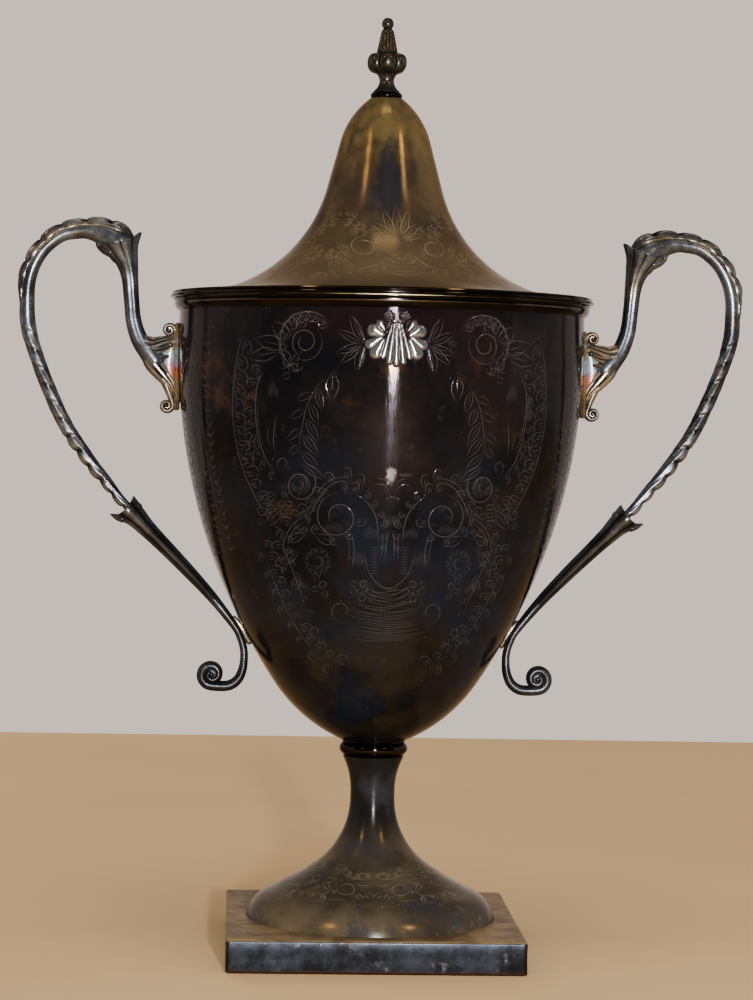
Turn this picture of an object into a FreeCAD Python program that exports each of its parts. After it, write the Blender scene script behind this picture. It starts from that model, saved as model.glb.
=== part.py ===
"""Covered two-handled trophy cup on a square plinth, in millimetres.

+Z is up and the origin is the middle of the plinth's underside. The handles stand along +X and -X.
The bowl, foot and lid are spun sheet, the handles and the finial are castings.
"""
import FreeCAD
import Part
import Sketcher
import math
import os

from FreeCAD import Vector

SIZES = {
    "zero": 0.0,
    # Sheet metal.
    "wall": 1.2,
    "lid_wall": 1.0,
    # Plinth: a square plate with a strip soldered round under its edge.
    "plinth_side": 99.5,
    "plinth_height": 11.0,
    "plinth_corner": 0.6,
    "plinth_hole_radius": 36.0,
    # Foot: a spun trumpet, from the plinth up to the knop.
    "foot_base_radius": 42.9,
    "foot_shoulder_radius": 36.0,
    "foot_shoulder_height": 19.6,
    "foot_shoulder_arc": 12.2,
    "foot_flare_radius": 20.1,
    "foot_flare_height": 28.6,
    "foot_flare_arc": 98.0,
    "stem_radius": 7.65,
    "stem_low_height": 52.0,
    "stem_low_arc": 28.5,
    "stem_high_height": 54.5,
    "stem_high_arc": 25.0,
    "stem_top_radius": 10.7,
    # Knop: the ring between the foot and the bowl.
    "knop_base_height": 66.5,
    "knop_base_radius": 10.3,
    "knop_top_radius": 10.7,
    "knop_arc": 3.6,
    # Bowl: an egg of two arcs under a straight wall.
    "bowl_base_height": 71.9,
    "bowl_base_radius": 11.0,
    "bowl_turn_height": 92.07,
    "bowl_turn_radius": 35.1,
    "bowl_base_arc": 55.6,
    "bowl_side_arc": 203.0,
    "bowl_wall_height": 205.0,
    "bowl_radius": 69.5,
    "lip_height": 222.0,
    # Moulding round the outside of the lip.
    "rim_base_height": 218.2,
    "rim_base_radius": 69.9,
    "rim_swell_height": 221.2,
    "rim_swell_radius": 72.1,
    "rim_swell_arc": 3.6,
    "rim_top_radius": 71.6,
    # Tie through the stem: a stud brazed to the bowl, with a washer and nut in the foot.
    "stud_radius": 3.0,
    "stud_hole_radius": 3.2,
    "stud_end_height": 25.5,
    "tie_washer_radius": 13.1,
    "tie_washer_thickness": 1.5,
    "tie_washer_height": 33.2,
    "tie_nut_width": 10.0,
    "tie_nut_thickness": 5.0,
    # Lid: a bell of three arcs with a flat flange, an edge wire and a bezel that drops into the bowl.
    "lid_top_height": 292.3,
    "lid_dome_centre_radius": -11.1,
    "lid_dome_centre_height": 270.6,
    "lid_dome_arc": 27.5,
    "lid_flare_centre_radius": 67.7,
    "lid_flare_arc": 49.5,
    "lid_flange_radius": 71.0,
    "lid_flange_height": 224.4,
    "edge_base_height": 222.3,
    "edge_top_height": 224.7,
    "edge_flat_radius": 72.1,
    "edge_arc": 1.3,
    "bezel_clearance": 0.4,
    "bezel_end_height": 213.5,
    # Finial: an urn and a cone with a ball on top, on a bead ring.
    "finial_seat_height": 294.4,
    "finial_collar_flat_radius": 4.4,
    "finial_collar_arc": 1.1,
    "finial_foot_radius": 3.9,
    "finial_waist_radius": 2.55,
    "finial_waist_height": 298.2,
    "finial_waist_arc": 5.5,
    "finial_cup_radius": 3.5,
    "finial_cup_height": 300.6,
    "finial_cup_arc": 3.6,
    "finial_belly_radius": 6.8,
    "finial_belly_height": 304.7,
    "finial_belly_low_arc": 4.6,
    "finial_belly_high_arc": 3.6,
    "finial_shoulder_radius": 3.6,
    "finial_shoulder_height": 307.6,
    "finial_cone_radius": 3.4,
    "finial_cone_top_radius": 2.15,
    "finial_cone_top_height": 314.9,
    "finial_neck_radius": 1.5,
    "finial_neck_height": 316.3,
    "finial_ball_radius": 2.0,
    "overall_height": 320.0,
    "finial_stud_radius": 1.5,
    "finial_hole_radius": 1.6,
    "finial_stud_end_height": 285.5,
    "finial_washer_radius": 4.2,
    "finial_washer_thickness": 0.8,
    "finial_nut_width": 5.5,
    "finial_nut_thickness": 2.4,
    # Handle: the plate on the bowl, and the flat web of the bracket with its two volutes.
    "pad_out": 71.0,
    "pad_depth": 8.0,
    "pad_base_height": 184.6,
    "pad_top_height": 213.6,
    "web_depth": 4.6,
    "volute_depth": 6.0,
    "high_volute_out": 73.5,
    "high_volute_up": 210.8,
    "high_volute_radius": 2.5,
    "low_volute_out": 73.9,
    "low_volute_up": 186.2,
    "low_volute_radius": 2.5,
    "tail_volute_out": 56.3,
    "tail_volute_up": 93.3,
    "tail_volute_radius": 4.6,
    "tail_volute_depth": 5.4,
    "tail_pad_in": 40.0,
    "tail_pad_out": 49.5,
    "tail_pad_depth": 2.4,
    "tail_pad_base_height": 104.6,
    "tail_pad_top_height": 112.8,
    "crest_rise": 1.5,
    "crest_end_rise": 0.7,
}

# Stations along the middle of each casting: distance out from the cup's axis, height, thickness.
BRACKET_ARM = [
    (77.6, 202.0, 7.0),
    (82.7, 207.6, 5.7),
    (85.0, 214.0, 5.5),
    (85.9, 221.4, 5.6),
    (86.7, 229.2, 6.0),
    (88.1, 234.6, 8.3),
    (89.6, 239.0, 12.2),
    (90.5, 242.2, 15.4),
]
ARCH = [
    (89.6, 240.2, 5.6),
    (92.6, 243.3, 6.0),
    (97.4, 244.9, 6.0),
    (104.0, 244.6, 5.2),
    (110.2, 243.0, 4.8),
    (115.8, 238.4, 4.6),
    (119.3, 232.6, 4.6),
    (121.0, 226.5, 4.8),
    (121.4, 220.0, 5.2),
    (121.0, 212.5, 5.6),
    (118.8, 204.2, 4.9),
    (114.3, 192.3, 5.2),
    (108.4, 179.6, 5.6),
    (103.2, 171.8, 5.0),
    (98.4, 165.2, 4.8),
    (94.0, 160.0, 4.1),
    (89.7, 154.7, 3.3),
    (86.6, 151.2, 3.1),
]
TAIL = [
    (85.9, 150.4, 8.8),
    (83.9, 148.1, 8.8),
    (79.9, 144.0, 6.6),
    (75.0, 139.2, 5.5),
    (65.7, 129.9, 4.9),
    (56.4, 120.0, 3.9),
    (48.6, 110.3, 2.8),
    (46.4, 105.9, 2.6),
    (45.6, 102.2, 2.6),
    (46.2, 98.6, 3.0),
    (48.4, 94.4, 3.7),
    (52.0, 91.2, 4.6),
]
BARS = {"arm": BRACKET_ARM, "arch": ARCH, "tail": TAIL}
FIRST_CREST_STATION = 1
LAST_CREST_STATION = 9

doc = FreeCAD.newDocument("trophy_cup")
sheet = doc.addObject("Spreadsheet::Sheet", "Sizes")
SIDES = {"left": -1, "right": 1}


def fill_sheet():
    """Put every driving size in the sheet, one cell each, and the handle's stations after them."""
    cells = dict(SIZES)
    for name, bar in BARS.items():
        for number, (out, up, thick) in enumerate(bar):
            cells[f"{name}_{number}_out"] = out
            cells[f"{name}_{number}_up"] = up
            cells[f"{name}_{number}_thick"] = thick
    add_cells(cells)


def add_cells(cells):
    """Put named sizes in the sheet, in the first free rows."""
    row = 1
    while sheet.getContents(f"A{row}"):
        row += 1
    for alias, number in cells.items():
        sheet.set(f"A{row}", alias)
        sheet.set(f"B{row}", repr(round(number, 6)))
        sheet.setAlias(f"B{row}", alias)
        row += 1
    doc.recompute()


def size(alias):
    """The value of one cell of the sheet."""
    return float(sheet.get(alias))


def value(terms):
    """The number that a sum of cells such as "lip_height - wall" comes to."""
    total = 0.0
    sign = 1
    for word in terms.split():
        if word in ("+", "-"):
            sign = 1 if word == "+" else -1
        else:
            total += sign * size(word)
    return total


def bound(terms):
    """The same sum as a FreeCAD expression on the sheet."""
    words = [word if word in ("+", "-") else f"Sizes.{word}" for word in terms.split()]
    return " ".join(words)


def origin_feature(body, role):
    """The plane or axis of a body's own origin that has this role."""
    return next(feature for feature in body.Origin.OriginFeatures if feature.Role == role)


def new_body(label):
    """An empty body with its own label."""
    body = doc.addObject("PartDesign::Body", label)
    body.Label = label
    return body


def new_sketch(body, name, plane):
    """A sketch on one of the body's own origin planes."""
    sketch = body.newObject("Sketcher::SketchObject", name)
    sketch.AttachmentSupport = [(origin_feature(body, plane), "")]
    sketch.MapMode = "FlatFace"
    return sketch


def arc_geometry(start, end, radius, side):
    """The shorter arc from start to end, with its centre on the left (side 1) or right (side -1)."""
    middle = (start + end) * 0.5
    along = end - start
    normal = Vector(-along.y, along.x, 0)
    normal.normalize()
    rise = math.sqrt(max(radius ** 2 - (along.Length / 2) ** 2, 0.0))
    centre = middle + normal * rise * side
    first, last = (start, end) if side > 0 else (end, start)
    circle = Part.Circle(centre, Vector(0, 0, 1), radius)
    first_angle = math.atan2(first.y - centre.y, first.x - centre.x)
    last_angle = math.atan2(last.y - centre.y, last.x - centre.x)
    return Part.ArcOfCircle(circle, first_angle, last_angle)


def draw_outline(sketch, corners):
    """Draw a closed outline. A corner is (out, up), or (out, up, radius, side) where an arc leaves it."""
    points = [Vector(value(corner[0]), value(corner[1]), 0) for corner in corners]
    edges = []
    for number, corner in enumerate(corners):
        start = points[number]
        end = points[(number + 1) % len(points)]
        if len(corner) == 2:
            index = sketch.addGeometry(Part.LineSegment(start, end))
            edges.append((index, 1, 2))
        else:
            radius, side = corner[2], corner[3]
            index = sketch.addGeometry(arc_geometry(start, end, value(radius), side))
            edges.append((index, 1, 2) if side > 0 else (index, 2, 1))
            bind(sketch, sketch.addConstraint(Sketcher.Constraint("Radius", index, value(radius))), radius)
    for number, corner in enumerate(corners):
        index, start_end, _ = edges[number]
        previous, _, far_end = edges[number - 1]
        sketch.addConstraint(Sketcher.Constraint("Coincident", previous, far_end, index, start_end))
        place_point(sketch, index, start_end, corner[0], corner[1])


def bind(sketch, constraint, terms):
    """Tie a constraint's value to the sheet."""
    sketch.setExpression(f"Constraints[{constraint}]", bound(terms))


def place_point(sketch, index, end, out, up):
    """Hold one end of an edge at a distance out and a height that the sheet gives."""
    for kind, terms, axis in (("DistanceX", out, -2), ("DistanceY", up, -1)):
        if value(terms) == 0.0:
            sketch.addConstraint(Sketcher.Constraint("PointOnObject", index, end, axis))
        else:
            datum = Sketcher.Constraint(kind, -1, 1, index, end, value(terms))
            bind(sketch, sketch.addConstraint(datum), terms)


def turn(body, corners, name="turning"):
    """Spin an outline, given as distances out and heights, round the cup's axis."""
    sketch = new_sketch(body, f"{name}_profile", "XZ_Plane")
    draw_outline(sketch, corners)
    turning = body.newObject("PartDesign::Revolution", name)
    turning.Profile = sketch
    turning.ReferenceAxis = (sketch, ["V_Axis"])
    turning.Angle = 360
    sketch.Visibility = False
    body.Tip = turning
    return turning


def turned_piece(label, corners):
    """A body that is one spun outline."""
    body = new_body(label)
    turn(body, corners)
    return body


def hollow(body, solid, height, wall):
    """Leave only the wall of a spun solid, open at its flat end at this height."""
    doc.recompute()
    ends = []
    for number, face in enumerate(solid.Shape.Faces, start=1):
        if face.Surface.TypeId == "Part::GeomPlane" and abs(face.CenterOfMass.z - value(height)) < 0.01:
            ends.append(f"Face{number}")
    full = solid.Shape.Volume
    shell = body.newObject("PartDesign::Thickness", "spun_wall")
    shell.Base = (solid, ends)
    shell.Reversed = True
    shell.setExpression("Value", bound(wall))
    body.Tip = shell
    doc.recompute()
    if shell.Shape.Volume >= full:
        raise RuntimeError(f"{body.Label}: the wall was not hollowed")
    return shell


def square_outline(sketch, side):
    """A square centred on the origin, held by its side."""
    half = value(side) / 2
    corners = [Vector(-half, -half, 0), Vector(half, -half, 0), Vector(half, half, 0), Vector(-half, half, 0)]
    lines = [
        sketch.addGeometry(Part.LineSegment(corners[number], corners[(number + 1) % 4]))
        for number in range(4)
    ]
    for number in range(4):
        following = lines[(number + 1) % 4]
        sketch.addConstraint(Sketcher.Constraint("Coincident", lines[number], 2, following, 1))
    for number, kind in enumerate(("Horizontal", "Vertical", "Horizontal", "Vertical")):
        sketch.addConstraint(Sketcher.Constraint(kind, lines[number]))
    sketch.addConstraint(Sketcher.Constraint("Symmetric", lines[0], 1, lines[2], 1, -1, 1))
    for line, kind in ((lines[0], "DistanceX"), (lines[1], "DistanceY")):
        bind(sketch, sketch.addConstraint(Sketcher.Constraint(kind, line, 1, line, 2, 2 * half)), side)


def square_slab(label, height):
    """A square slab on the plinth's outline, with its upright corners rounded."""
    body = new_body(label)
    sketch = new_sketch(body, "outside", "XY_Plane")
    square_outline(sketch, "plinth_side")
    pad = body.newObject("PartDesign::Pad", "slab")
    pad.Profile = sketch
    pad.setExpression("Length", bound(height))
    sketch.Visibility = False
    body.Tip = pad
    doc.recompute()
    uprights = [
        f"Edge{number}" for number, edge in enumerate(pad.Shape.Edges, start=1)
        if abs(edge.tangentAt(edge.FirstParameter).z) > 0.9
    ]
    rounding = body.newObject("PartDesign::Fillet", "corners")
    rounding.Base = (pad, uprights)
    rounding.setExpression("Radius", bound("plinth_corner"))
    body.Tip = rounding
    return body


def pocket_through(body, sketch, name):
    """Cut a sketch's outline right through a body, both ways from its plane."""
    doc.recompute()
    before = body.Tip.Shape.Volume
    cut = body.newObject("PartDesign::Pocket", name)
    cut.Profile = sketch
    cut.Type = "ThroughAll"
    cut.Midplane = True
    sketch.Visibility = False
    body.Tip = cut
    doc.recompute()
    if body.Tip.Shape.Volume >= before:
        raise RuntimeError(f"{body.Label}: {name} cut nothing")


def pierce(body, radius):
    """Cut a round hole along the cup's axis, right through the body."""
    sketch = new_sketch(body, "hole_circle", "XY_Plane")
    circle = sketch.addGeometry(Part.Circle(Vector(0, 0, 0), Vector(0, 0, 1), value(radius)))
    sketch.addConstraint(Sketcher.Constraint("Coincident", circle, 3, -1, 1))
    bind(sketch, sketch.addConstraint(Sketcher.Constraint("Radius", circle, value(radius))), radius)
    pocket_through(body, sketch, "axial_hole")


def make_plinth():
    """The strip round the plinth and the plate on top of it."""
    band = square_slab("plinth_band", "plinth_height - wall")
    inside = new_sketch(band, "inside", "XY_Plane")
    square_outline(inside, "plinth_side - wall - wall")
    pocket_through(band, inside, "hollow")
    plate = square_slab("plinth_top", "wall")
    pierce(plate, "plinth_hole_radius")
    plate.setExpression("Placement.Base.z", bound("plinth_height - wall"))
    return [band, plate]


def make_foot():
    """The spun trumpet foot, open below, with a hole for the stud in its top."""
    body = new_body("foot")
    solid = turn(body, [
        ("zero", "plinth_height"),
        ("foot_base_radius", "plinth_height", "foot_shoulder_arc", 1),
        ("foot_shoulder_radius", "foot_shoulder_height", "foot_flare_arc", -1),
        ("foot_flare_radius", "foot_flare_height", "stem_low_arc", -1),
        ("stem_radius", "stem_low_height"),
        ("stem_radius", "stem_high_height", "stem_high_arc", -1),
        ("stem_top_radius", "knop_base_height"),
        ("zero", "knop_base_height"),
    ])
    hollow(body, solid, "plinth_height", "wall")
    pierce(body, "stud_hole_radius")
    return body


def make_knop():
    """The ring knop, threaded on the stud between the foot and the bowl."""
    return turned_piece("collar_ring", [
        ("stud_hole_radius", "knop_base_height"),
        ("knop_base_radius", "knop_base_height", "knop_arc", 1),
        ("knop_top_radius", "bowl_base_height"),
        ("stud_hole_radius", "bowl_base_height"),
    ])


def make_bowl():
    """The spun bowl, open at its lip, and the same shape solid, which trims what is soldered to it."""
    body = new_body("bowl_shell")
    solid = turn(body, [
        ("zero", "bowl_base_height"),
        ("bowl_base_radius", "bowl_base_height", "bowl_base_arc", 1),
        ("bowl_turn_radius", "bowl_turn_height", "bowl_side_arc", 1),
        ("bowl_radius", "bowl_wall_height"),
        ("bowl_radius", "lip_height"),
        ("zero", "lip_height"),
    ])
    hollow(body, solid, "lip_height", "wall")
    return body, solid.Shape


def make_rim():
    """The moulding soldered round the outside of the lip."""
    return turned_piece("rim_moulding", [
        ("bowl_radius", "rim_base_height"),
        ("rim_base_radius", "rim_base_height", "rim_swell_arc", 1),
        ("rim_swell_radius", "rim_swell_height"),
        ("rim_top_radius", "lip_height"),
        ("bowl_radius", "lip_height"),
    ])


def ring(label, bore, radius, base, top):
    """A plain washer or collar."""
    return turned_piece(label, [(bore, base), (radius, base), (radius, top), (bore, top)])


def hexagon_nut(label, width, thickness, bore, top):
    """A plain hexagon nut under a seat at the height top."""
    prism = doc.addObject("Part::Prism", f"{label}_hexagon")
    prism.Polygon = 6
    prism.setExpression("Circumradius", f"({bound(width)}) / sqrt(3)")
    prism.setExpression("Height", bound(thickness))
    hole = doc.addObject("Part::Cylinder", f"{label}_bore")
    hole.setExpression("Radius", bound(bore))
    hole.setExpression("Height", bound(thickness))
    nut = doc.addObject("Part::Cut", label)
    nut.Base = prism
    nut.Tool = hole
    nut.Label = label
    nut.setExpression("Placement.Base.z", bound(f"{top} - {thickness}"))
    return nut


def make_tie():
    """The stud through the stem with the washer and nut that draw the foot up to the bowl."""
    stud = rod("tie_stud", "stud_radius", "stud_end_height", "bowl_base_height")
    washer = ring("tie_washer", "stud_hole_radius", "tie_washer_radius",
                  "tie_washer_height - tie_washer_thickness", "tie_washer_height")
    nut = hexagon_nut("tie_nut", "tie_nut_width", "tie_nut_thickness", "stud_radius",
                      "tie_washer_height - tie_washer_thickness")
    return [stud, washer, nut]


def rod(label, radius, base, top):
    """A plain round rod on the cup's axis."""
    return turned_piece(label, [("zero", base), (radius, base), (radius, top), ("zero", top)])


def tangent_normal(centre, arc, far_centre, far_arc):
    """Unit normal of the line that touches a swelling arc and then a hollow arc beyond it."""
    between = far_centre - centre
    lean = math.acos((arc + far_arc) / between.Length)
    angle = math.atan2(between.y, between.x) + lean
    return Vector(math.cos(angle), math.sin(angle), 0)


def work_out_lid():
    """Add the lid's arc ends to the sheet, outside and inside the sheet metal."""
    wall = size("lid_wall")
    dome = Vector(size("lid_dome_centre_radius"), size("lid_dome_centre_height"), 0)
    flare = Vector(size("lid_flare_centre_radius"), value("lid_flange_height + lid_flare_arc"), 0)
    dome_arc = size("lid_dome_arc")
    flare_arc = size("lid_flare_arc")
    normal = tangent_normal(dome, dome_arc, flare, flare_arc)
    rise = size("lid_top_height") - dome.y
    ends = {
        "lid_dome_top": Vector(dome.x + math.sqrt(dome_arc ** 2 - rise ** 2), size("lid_top_height"), 0),
        "lid_dome_end": dome + normal * dome_arc,
        "lid_flare_start": flare - normal * flare_arc,
        "lid_dome_end_in": dome + normal * (dome_arc - wall),
        "lid_flare_start_in": flare - normal * (flare_arc + wall),
    }
    inner_rise = rise - wall
    inner_arc = dome_arc - wall
    inner_top = Vector(dome.x + math.sqrt(inner_arc ** 2 - inner_rise ** 2), size("lid_top_height") - wall, 0)
    ends["lid_dome_top_in"] = inner_top
    cells = {"lid_dome_arc_in": inner_arc, "lid_flare_arc_in": flare_arc + wall}
    for name, point in ends.items():
        cells[f"{name}_out"] = point.x
        cells[f"{name}_up"] = point.y
    add_cells(cells)


def make_lid():
    """The bell, its edge wire and the bezel that locates it in the mouth of the bowl."""
    work_out_lid()
    underside = "lid_flange_height - lid_wall"
    bell = turned_piece("lid_shell", [
        ("finial_hole_radius", "lid_top_height - lid_wall"),
        ("lid_dome_top_in_out", "lid_dome_top_in_up", "lid_dome_arc_in", -1),
        ("lid_dome_end_in_out", "lid_dome_end_in_up"),
        ("lid_flare_start_in_out", "lid_flare_start_in_up", "lid_flare_arc_in", 1),
        ("lid_flare_centre_radius", underside),
        ("lid_flange_radius", underside),
        ("lid_flange_radius", "lid_flange_height"),
        ("lid_flare_centre_radius", "lid_flange_height", "lid_flare_arc", -1),
        ("lid_flare_start_out", "lid_flare_start_up"),
        ("lid_dome_end_out", "lid_dome_end_up", "lid_dome_arc", 1),
        ("lid_dome_top_out", "lid_dome_top_up"),
        ("finial_hole_radius", "lid_top_height"),
    ])
    edge = turned_piece("lid_edge_wire", [
        ("lid_flange_radius", "edge_base_height"),
        ("edge_flat_radius", "edge_base_height", "edge_arc", 1),
        ("edge_flat_radius", "edge_top_height"),
        ("lid_flange_radius", "edge_top_height"),
    ])
    outside = "bowl_radius - wall - bezel_clearance"
    bezel = ring("lid_bezel", f"{outside} - lid_wall", outside, "bezel_end_height", underside)
    return [bell, edge, bezel]


def make_finial():
    """The finial with its stud, the bead ring it stands on, and the washer and nut inside the lid."""
    collar = turned_piece("finial_collar", [
        ("finial_hole_radius", "lid_top_height"),
        ("finial_collar_flat_radius", "lid_top_height", "finial_collar_arc", 1),
        ("finial_collar_flat_radius", "finial_seat_height"),
        ("finial_hole_radius", "finial_seat_height"),
    ])
    finial = turned_piece("finial", [
        ("zero", "finial_stud_end_height"),
        ("finial_stud_radius", "finial_stud_end_height"),
        ("finial_stud_radius", "finial_seat_height"),
        ("finial_foot_radius", "finial_seat_height", "finial_waist_arc", -1),
        ("finial_waist_radius", "finial_waist_height", "finial_cup_arc", -1),
        ("finial_cup_radius", "finial_cup_height", "finial_belly_low_arc", 1),
        ("finial_belly_radius", "finial_belly_height", "finial_belly_high_arc", 1),
        ("finial_shoulder_radius", "finial_shoulder_height"),
        ("finial_cone_radius", "finial_shoulder_height"),
        ("finial_cone_top_radius", "finial_cone_top_height"),
        ("finial_neck_radius", "finial_neck_height", "finial_ball_radius", 1),
        ("finial_ball_radius", "overall_height - finial_ball_radius", "finial_ball_radius", 1),
        ("zero", "overall_height"),
    ])
    washer_top = "lid_top_height - lid_wall"
    washer_base = f"{washer_top} - finial_washer_thickness"
    washer = ring("finial_washer", "finial_hole_radius", "finial_washer_radius", washer_base, washer_top)
    nut = hexagon_nut("finial_nut", "finial_nut_width", "finial_nut_thickness", "finial_stud_radius",
                      washer_base)
    return [collar, finial, washer, nut]


def stations(name, first=0, last=None):
    """A casting's stations from the sheet, as (point, thickness) in the XZ plane."""
    chosen = range(first, len(BARS[name]) if last is None else last + 1)
    return [
        (Vector(size(f"{name}_{number}_out"), 0, size(f"{name}_{number}_up")), size(f"{name}_{number}_thick"))
        for number in chosen
    ]


def round_bar(points_and_thicknesses):
    """A smooth round bar that swells and narrows along its stations."""
    path = Part.BSplineCurve()
    path.interpolate([point for point, _ in points_and_thicknesses])
    sections = []
    for point, thickness in points_and_thicknesses:
        along = path.tangent(path.parameter(point))[0]
        circle = Part.Circle(point, along, thickness / 2)
        circle.XAxis = Vector(0, 1, 0)
        sections.append(Part.Wire(circle.toShape()))
    return Part.makeLoft(sections, True, False)


def disc(out, up, radius, depth):
    """A short cylinder lying along Y, centred on the handle's plane."""
    base = Vector(size(out), -size(depth) / 2, size(up))
    return Part.makeCylinder(size(radius), size(depth), base, Vector(0, 1, 0))


def block(out, far_out, base, top, depth):
    """A box centred on the handle's plane."""
    corner = Vector(out, -depth / 2, base)
    return Part.makeBox(far_out - out, depth, top - base, corner)


def bracket_web():
    """The flat web that joins the arm and both volutes to the plate."""
    inner = size("pad_out")
    high = Vector(size("high_volute_out"), 0, size("high_volute_up"))
    low = Vector(size("low_volute_out"), 0, size("low_volute_up"))
    arm = stations("arm")
    outline = [
        Vector(inner, 0, high.z),
        high,
        arm[1][0],
        arm[0][0] + Vector(1.2, 0, -3.4),
        low + Vector(0.4, 0, 3.2),
        low,
        Vector(inner, 0, low.z),
    ]
    face = Part.Face(Part.makePolygon(outline + outline[:1]))
    face.translate(Vector(0, -size("web_depth") / 2, 0))
    return face.extrude(Vector(0, size("web_depth"), 0))


def handle_shapes(bowl):
    """The six pieces of the handle on the +X side."""
    pad = block(size("pad_out") - 5, size("pad_out"), size("pad_base_height"), size("pad_top_height"),
                size("pad_depth")).cut(bowl)
    arch = round_bar(stations("arch"))
    bracket = round_bar(stations("arm")).fuse([
        bracket_web(),
        disc("high_volute_out", "high_volute_up", "high_volute_radius", "volute_depth"),
        disc("low_volute_out", "low_volute_up", "low_volute_radius", "volute_depth"),
    ]).cut(arch)
    crest = round_bar(crest_stations()).cut(arch).cut(bracket)
    tail = round_bar(stations("tail")).fuse(
        disc("tail_volute_out", "tail_volute_up", "tail_volute_radius", "tail_volute_depth")).cut(arch)
    solder = block(size("tail_pad_in"), size("tail_pad_out"), size("tail_pad_base_height"),
                   size("tail_pad_top_height"), size("tail_pad_depth")).cut(bowl).cut(tail)
    tail_pad = min(solder.Solids, key=lambda solid: solid.CenterOfMass.x)
    return {
        "handle_pad": pad,
        "handle_bracket": bracket,
        "handle_arch": arch,
        "handle_crest": crest,
        "handle_tail": tail,
        "tail_pad": tail_pad,
    }


def crest_stations():
    """The arch's own stations moved outward from its bend, least at both ends."""
    bend = Vector(size("arch_3_out"), 0, size("arch_8_up"))
    raised = []
    for number in range(FIRST_CREST_STATION, LAST_CREST_STATION + 1):
        point, thickness = stations("arch", number, number)[0]
        at_end = number in (FIRST_CREST_STATION, LAST_CREST_STATION)
        outward = point - bend
        outward.normalize()
        raised.append((point + outward * size("crest_end_rise" if at_end else "crest_rise"), thickness))
    return raised


def make_handles(bowl):
    """Both handles, the left one a mirror image of the right one."""
    pieces = []
    for name, shape in handle_shapes(bowl).items():
        for side, sign in SIDES.items():
            piece = doc.addObject("Part::Feature", f"{side}_{name}")
            piece.Label = f"{side}_{name}"
            piece.Shape = largest_solid(shape if sign > 0 else shape.mirror(Vector(0, 0, 0), Vector(1, 0, 0)))
            pieces.append(piece)
    return pieces


def largest_solid(shape):
    """The one solid of a casting, without any sliver that a cut left beside it."""
    return max(shape.Solids, key=lambda solid: solid.Volume)


def check_and_export(pieces):
    """Stop on anything failed or empty, then write one STEP file for each piece."""
    doc.recompute()
    for thing in doc.Objects:
        if "Invalid" in thing.State or "Error" in thing.State:
            raise RuntimeError(f"{thing.Label} failed: {thing.State}")
    for piece in pieces:
        if piece.Shape.isNull() or not piece.Shape.isValid() or not piece.Shape.Solids:
            raise RuntimeError(f"{piece.Label} has no valid solid")
    os.makedirs("parts", exist_ok=True)
    for piece in pieces:
        piece.Shape.exportStep(f"parts/{piece.Label}.step")
        box = piece.Shape.optimalBoundingBox(False)
        print(f"{piece.Label:22} {piece.Shape.Volume:10.1f} mm3  x {box.XMin:.1f} {box.XMax:.1f}"
              f"  y {box.YMin:.1f} {box.YMax:.1f}  z {box.ZMin:.1f} {box.ZMax:.1f}")


fill_sheet()
bowl_body, bowl_solid = make_bowl()
all_pieces = make_plinth() + [make_foot(), make_knop(), bowl_body, make_rim()] + make_tie()
all_pieces += make_handles(bowl_solid) + make_lid() + make_finial()
check_and_export(all_pieces)
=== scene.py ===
"""How the covered trophy cup looks: engraved spun silver plate under a dark tarnish, with cast handles.

Lengths in the design are millimetres in the cup's own frame, and become metres where a mesh is made.
The bowl, lid and foot are drawn on as unrolled sheets, and each stroke is cut as a V into the metal.
"""
import math
import random

import bmesh
import bpy
import numpy as np
from mathutils import Matrix, Vector
from mathutils.geometry import delaunay_2d_cdt


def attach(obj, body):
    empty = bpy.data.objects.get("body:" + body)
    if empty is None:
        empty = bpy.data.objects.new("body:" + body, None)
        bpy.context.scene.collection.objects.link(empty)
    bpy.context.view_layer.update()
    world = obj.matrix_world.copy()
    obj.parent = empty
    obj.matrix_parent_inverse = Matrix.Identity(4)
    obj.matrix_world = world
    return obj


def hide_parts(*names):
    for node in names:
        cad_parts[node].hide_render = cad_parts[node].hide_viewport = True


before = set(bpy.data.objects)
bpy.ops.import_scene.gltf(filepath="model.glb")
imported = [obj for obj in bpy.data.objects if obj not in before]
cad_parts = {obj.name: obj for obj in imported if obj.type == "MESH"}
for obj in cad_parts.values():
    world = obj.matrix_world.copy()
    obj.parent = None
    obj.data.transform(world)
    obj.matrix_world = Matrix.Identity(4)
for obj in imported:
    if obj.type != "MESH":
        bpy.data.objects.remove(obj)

MM = 0.001
FULL_TURN = 2 * math.pi
# What counts as nothing, and how near each other two angles or points on a map count as one.
TINY, TOUCHING = 1e-9, 1e-6
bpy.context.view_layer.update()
SIDES = {"left": -1, "right": 1}
chance = random.Random(11)


# ---------------------------------------------------------------- outlines and plain meshes

def trace(corners, step):
    """Points along an outline. A corner is (out, up), or (out, up, radius, side) where an arc leaves it."""
    path = []
    for here, there in zip(corners, corners[1:]):
        start, end = np.array(here[:2], float), np.array(there[:2], float)
        chord = end - start
        length = np.linalg.norm(chord)
        if len(here) == 2:
            count = max(1, round(length / step))
            path += [start + chord * k / count for k in range(count)]
            continue
        radius, side = here[2:]
        normal = np.array([-chord[1], chord[0]]) / length
        centre = (start + end) / 2 + normal * side * math.sqrt(max(radius ** 2 - length ** 2 / 4, 0.0))
        first = math.atan2(*(start - centre)[::-1])
        last = math.atan2(*(end - centre)[::-1])
        turn = (last - first + math.pi) % FULL_TURN - math.pi
        count = max(2, round(abs(turn) * radius / step))
        for angle in (first + turn * k / count for k in range(count)):
            path.append(centre + radius * np.array([math.cos(angle), math.sin(angle)]))
    path.append(np.array(corners[-1][:2], float))
    return np.array(path)


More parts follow.
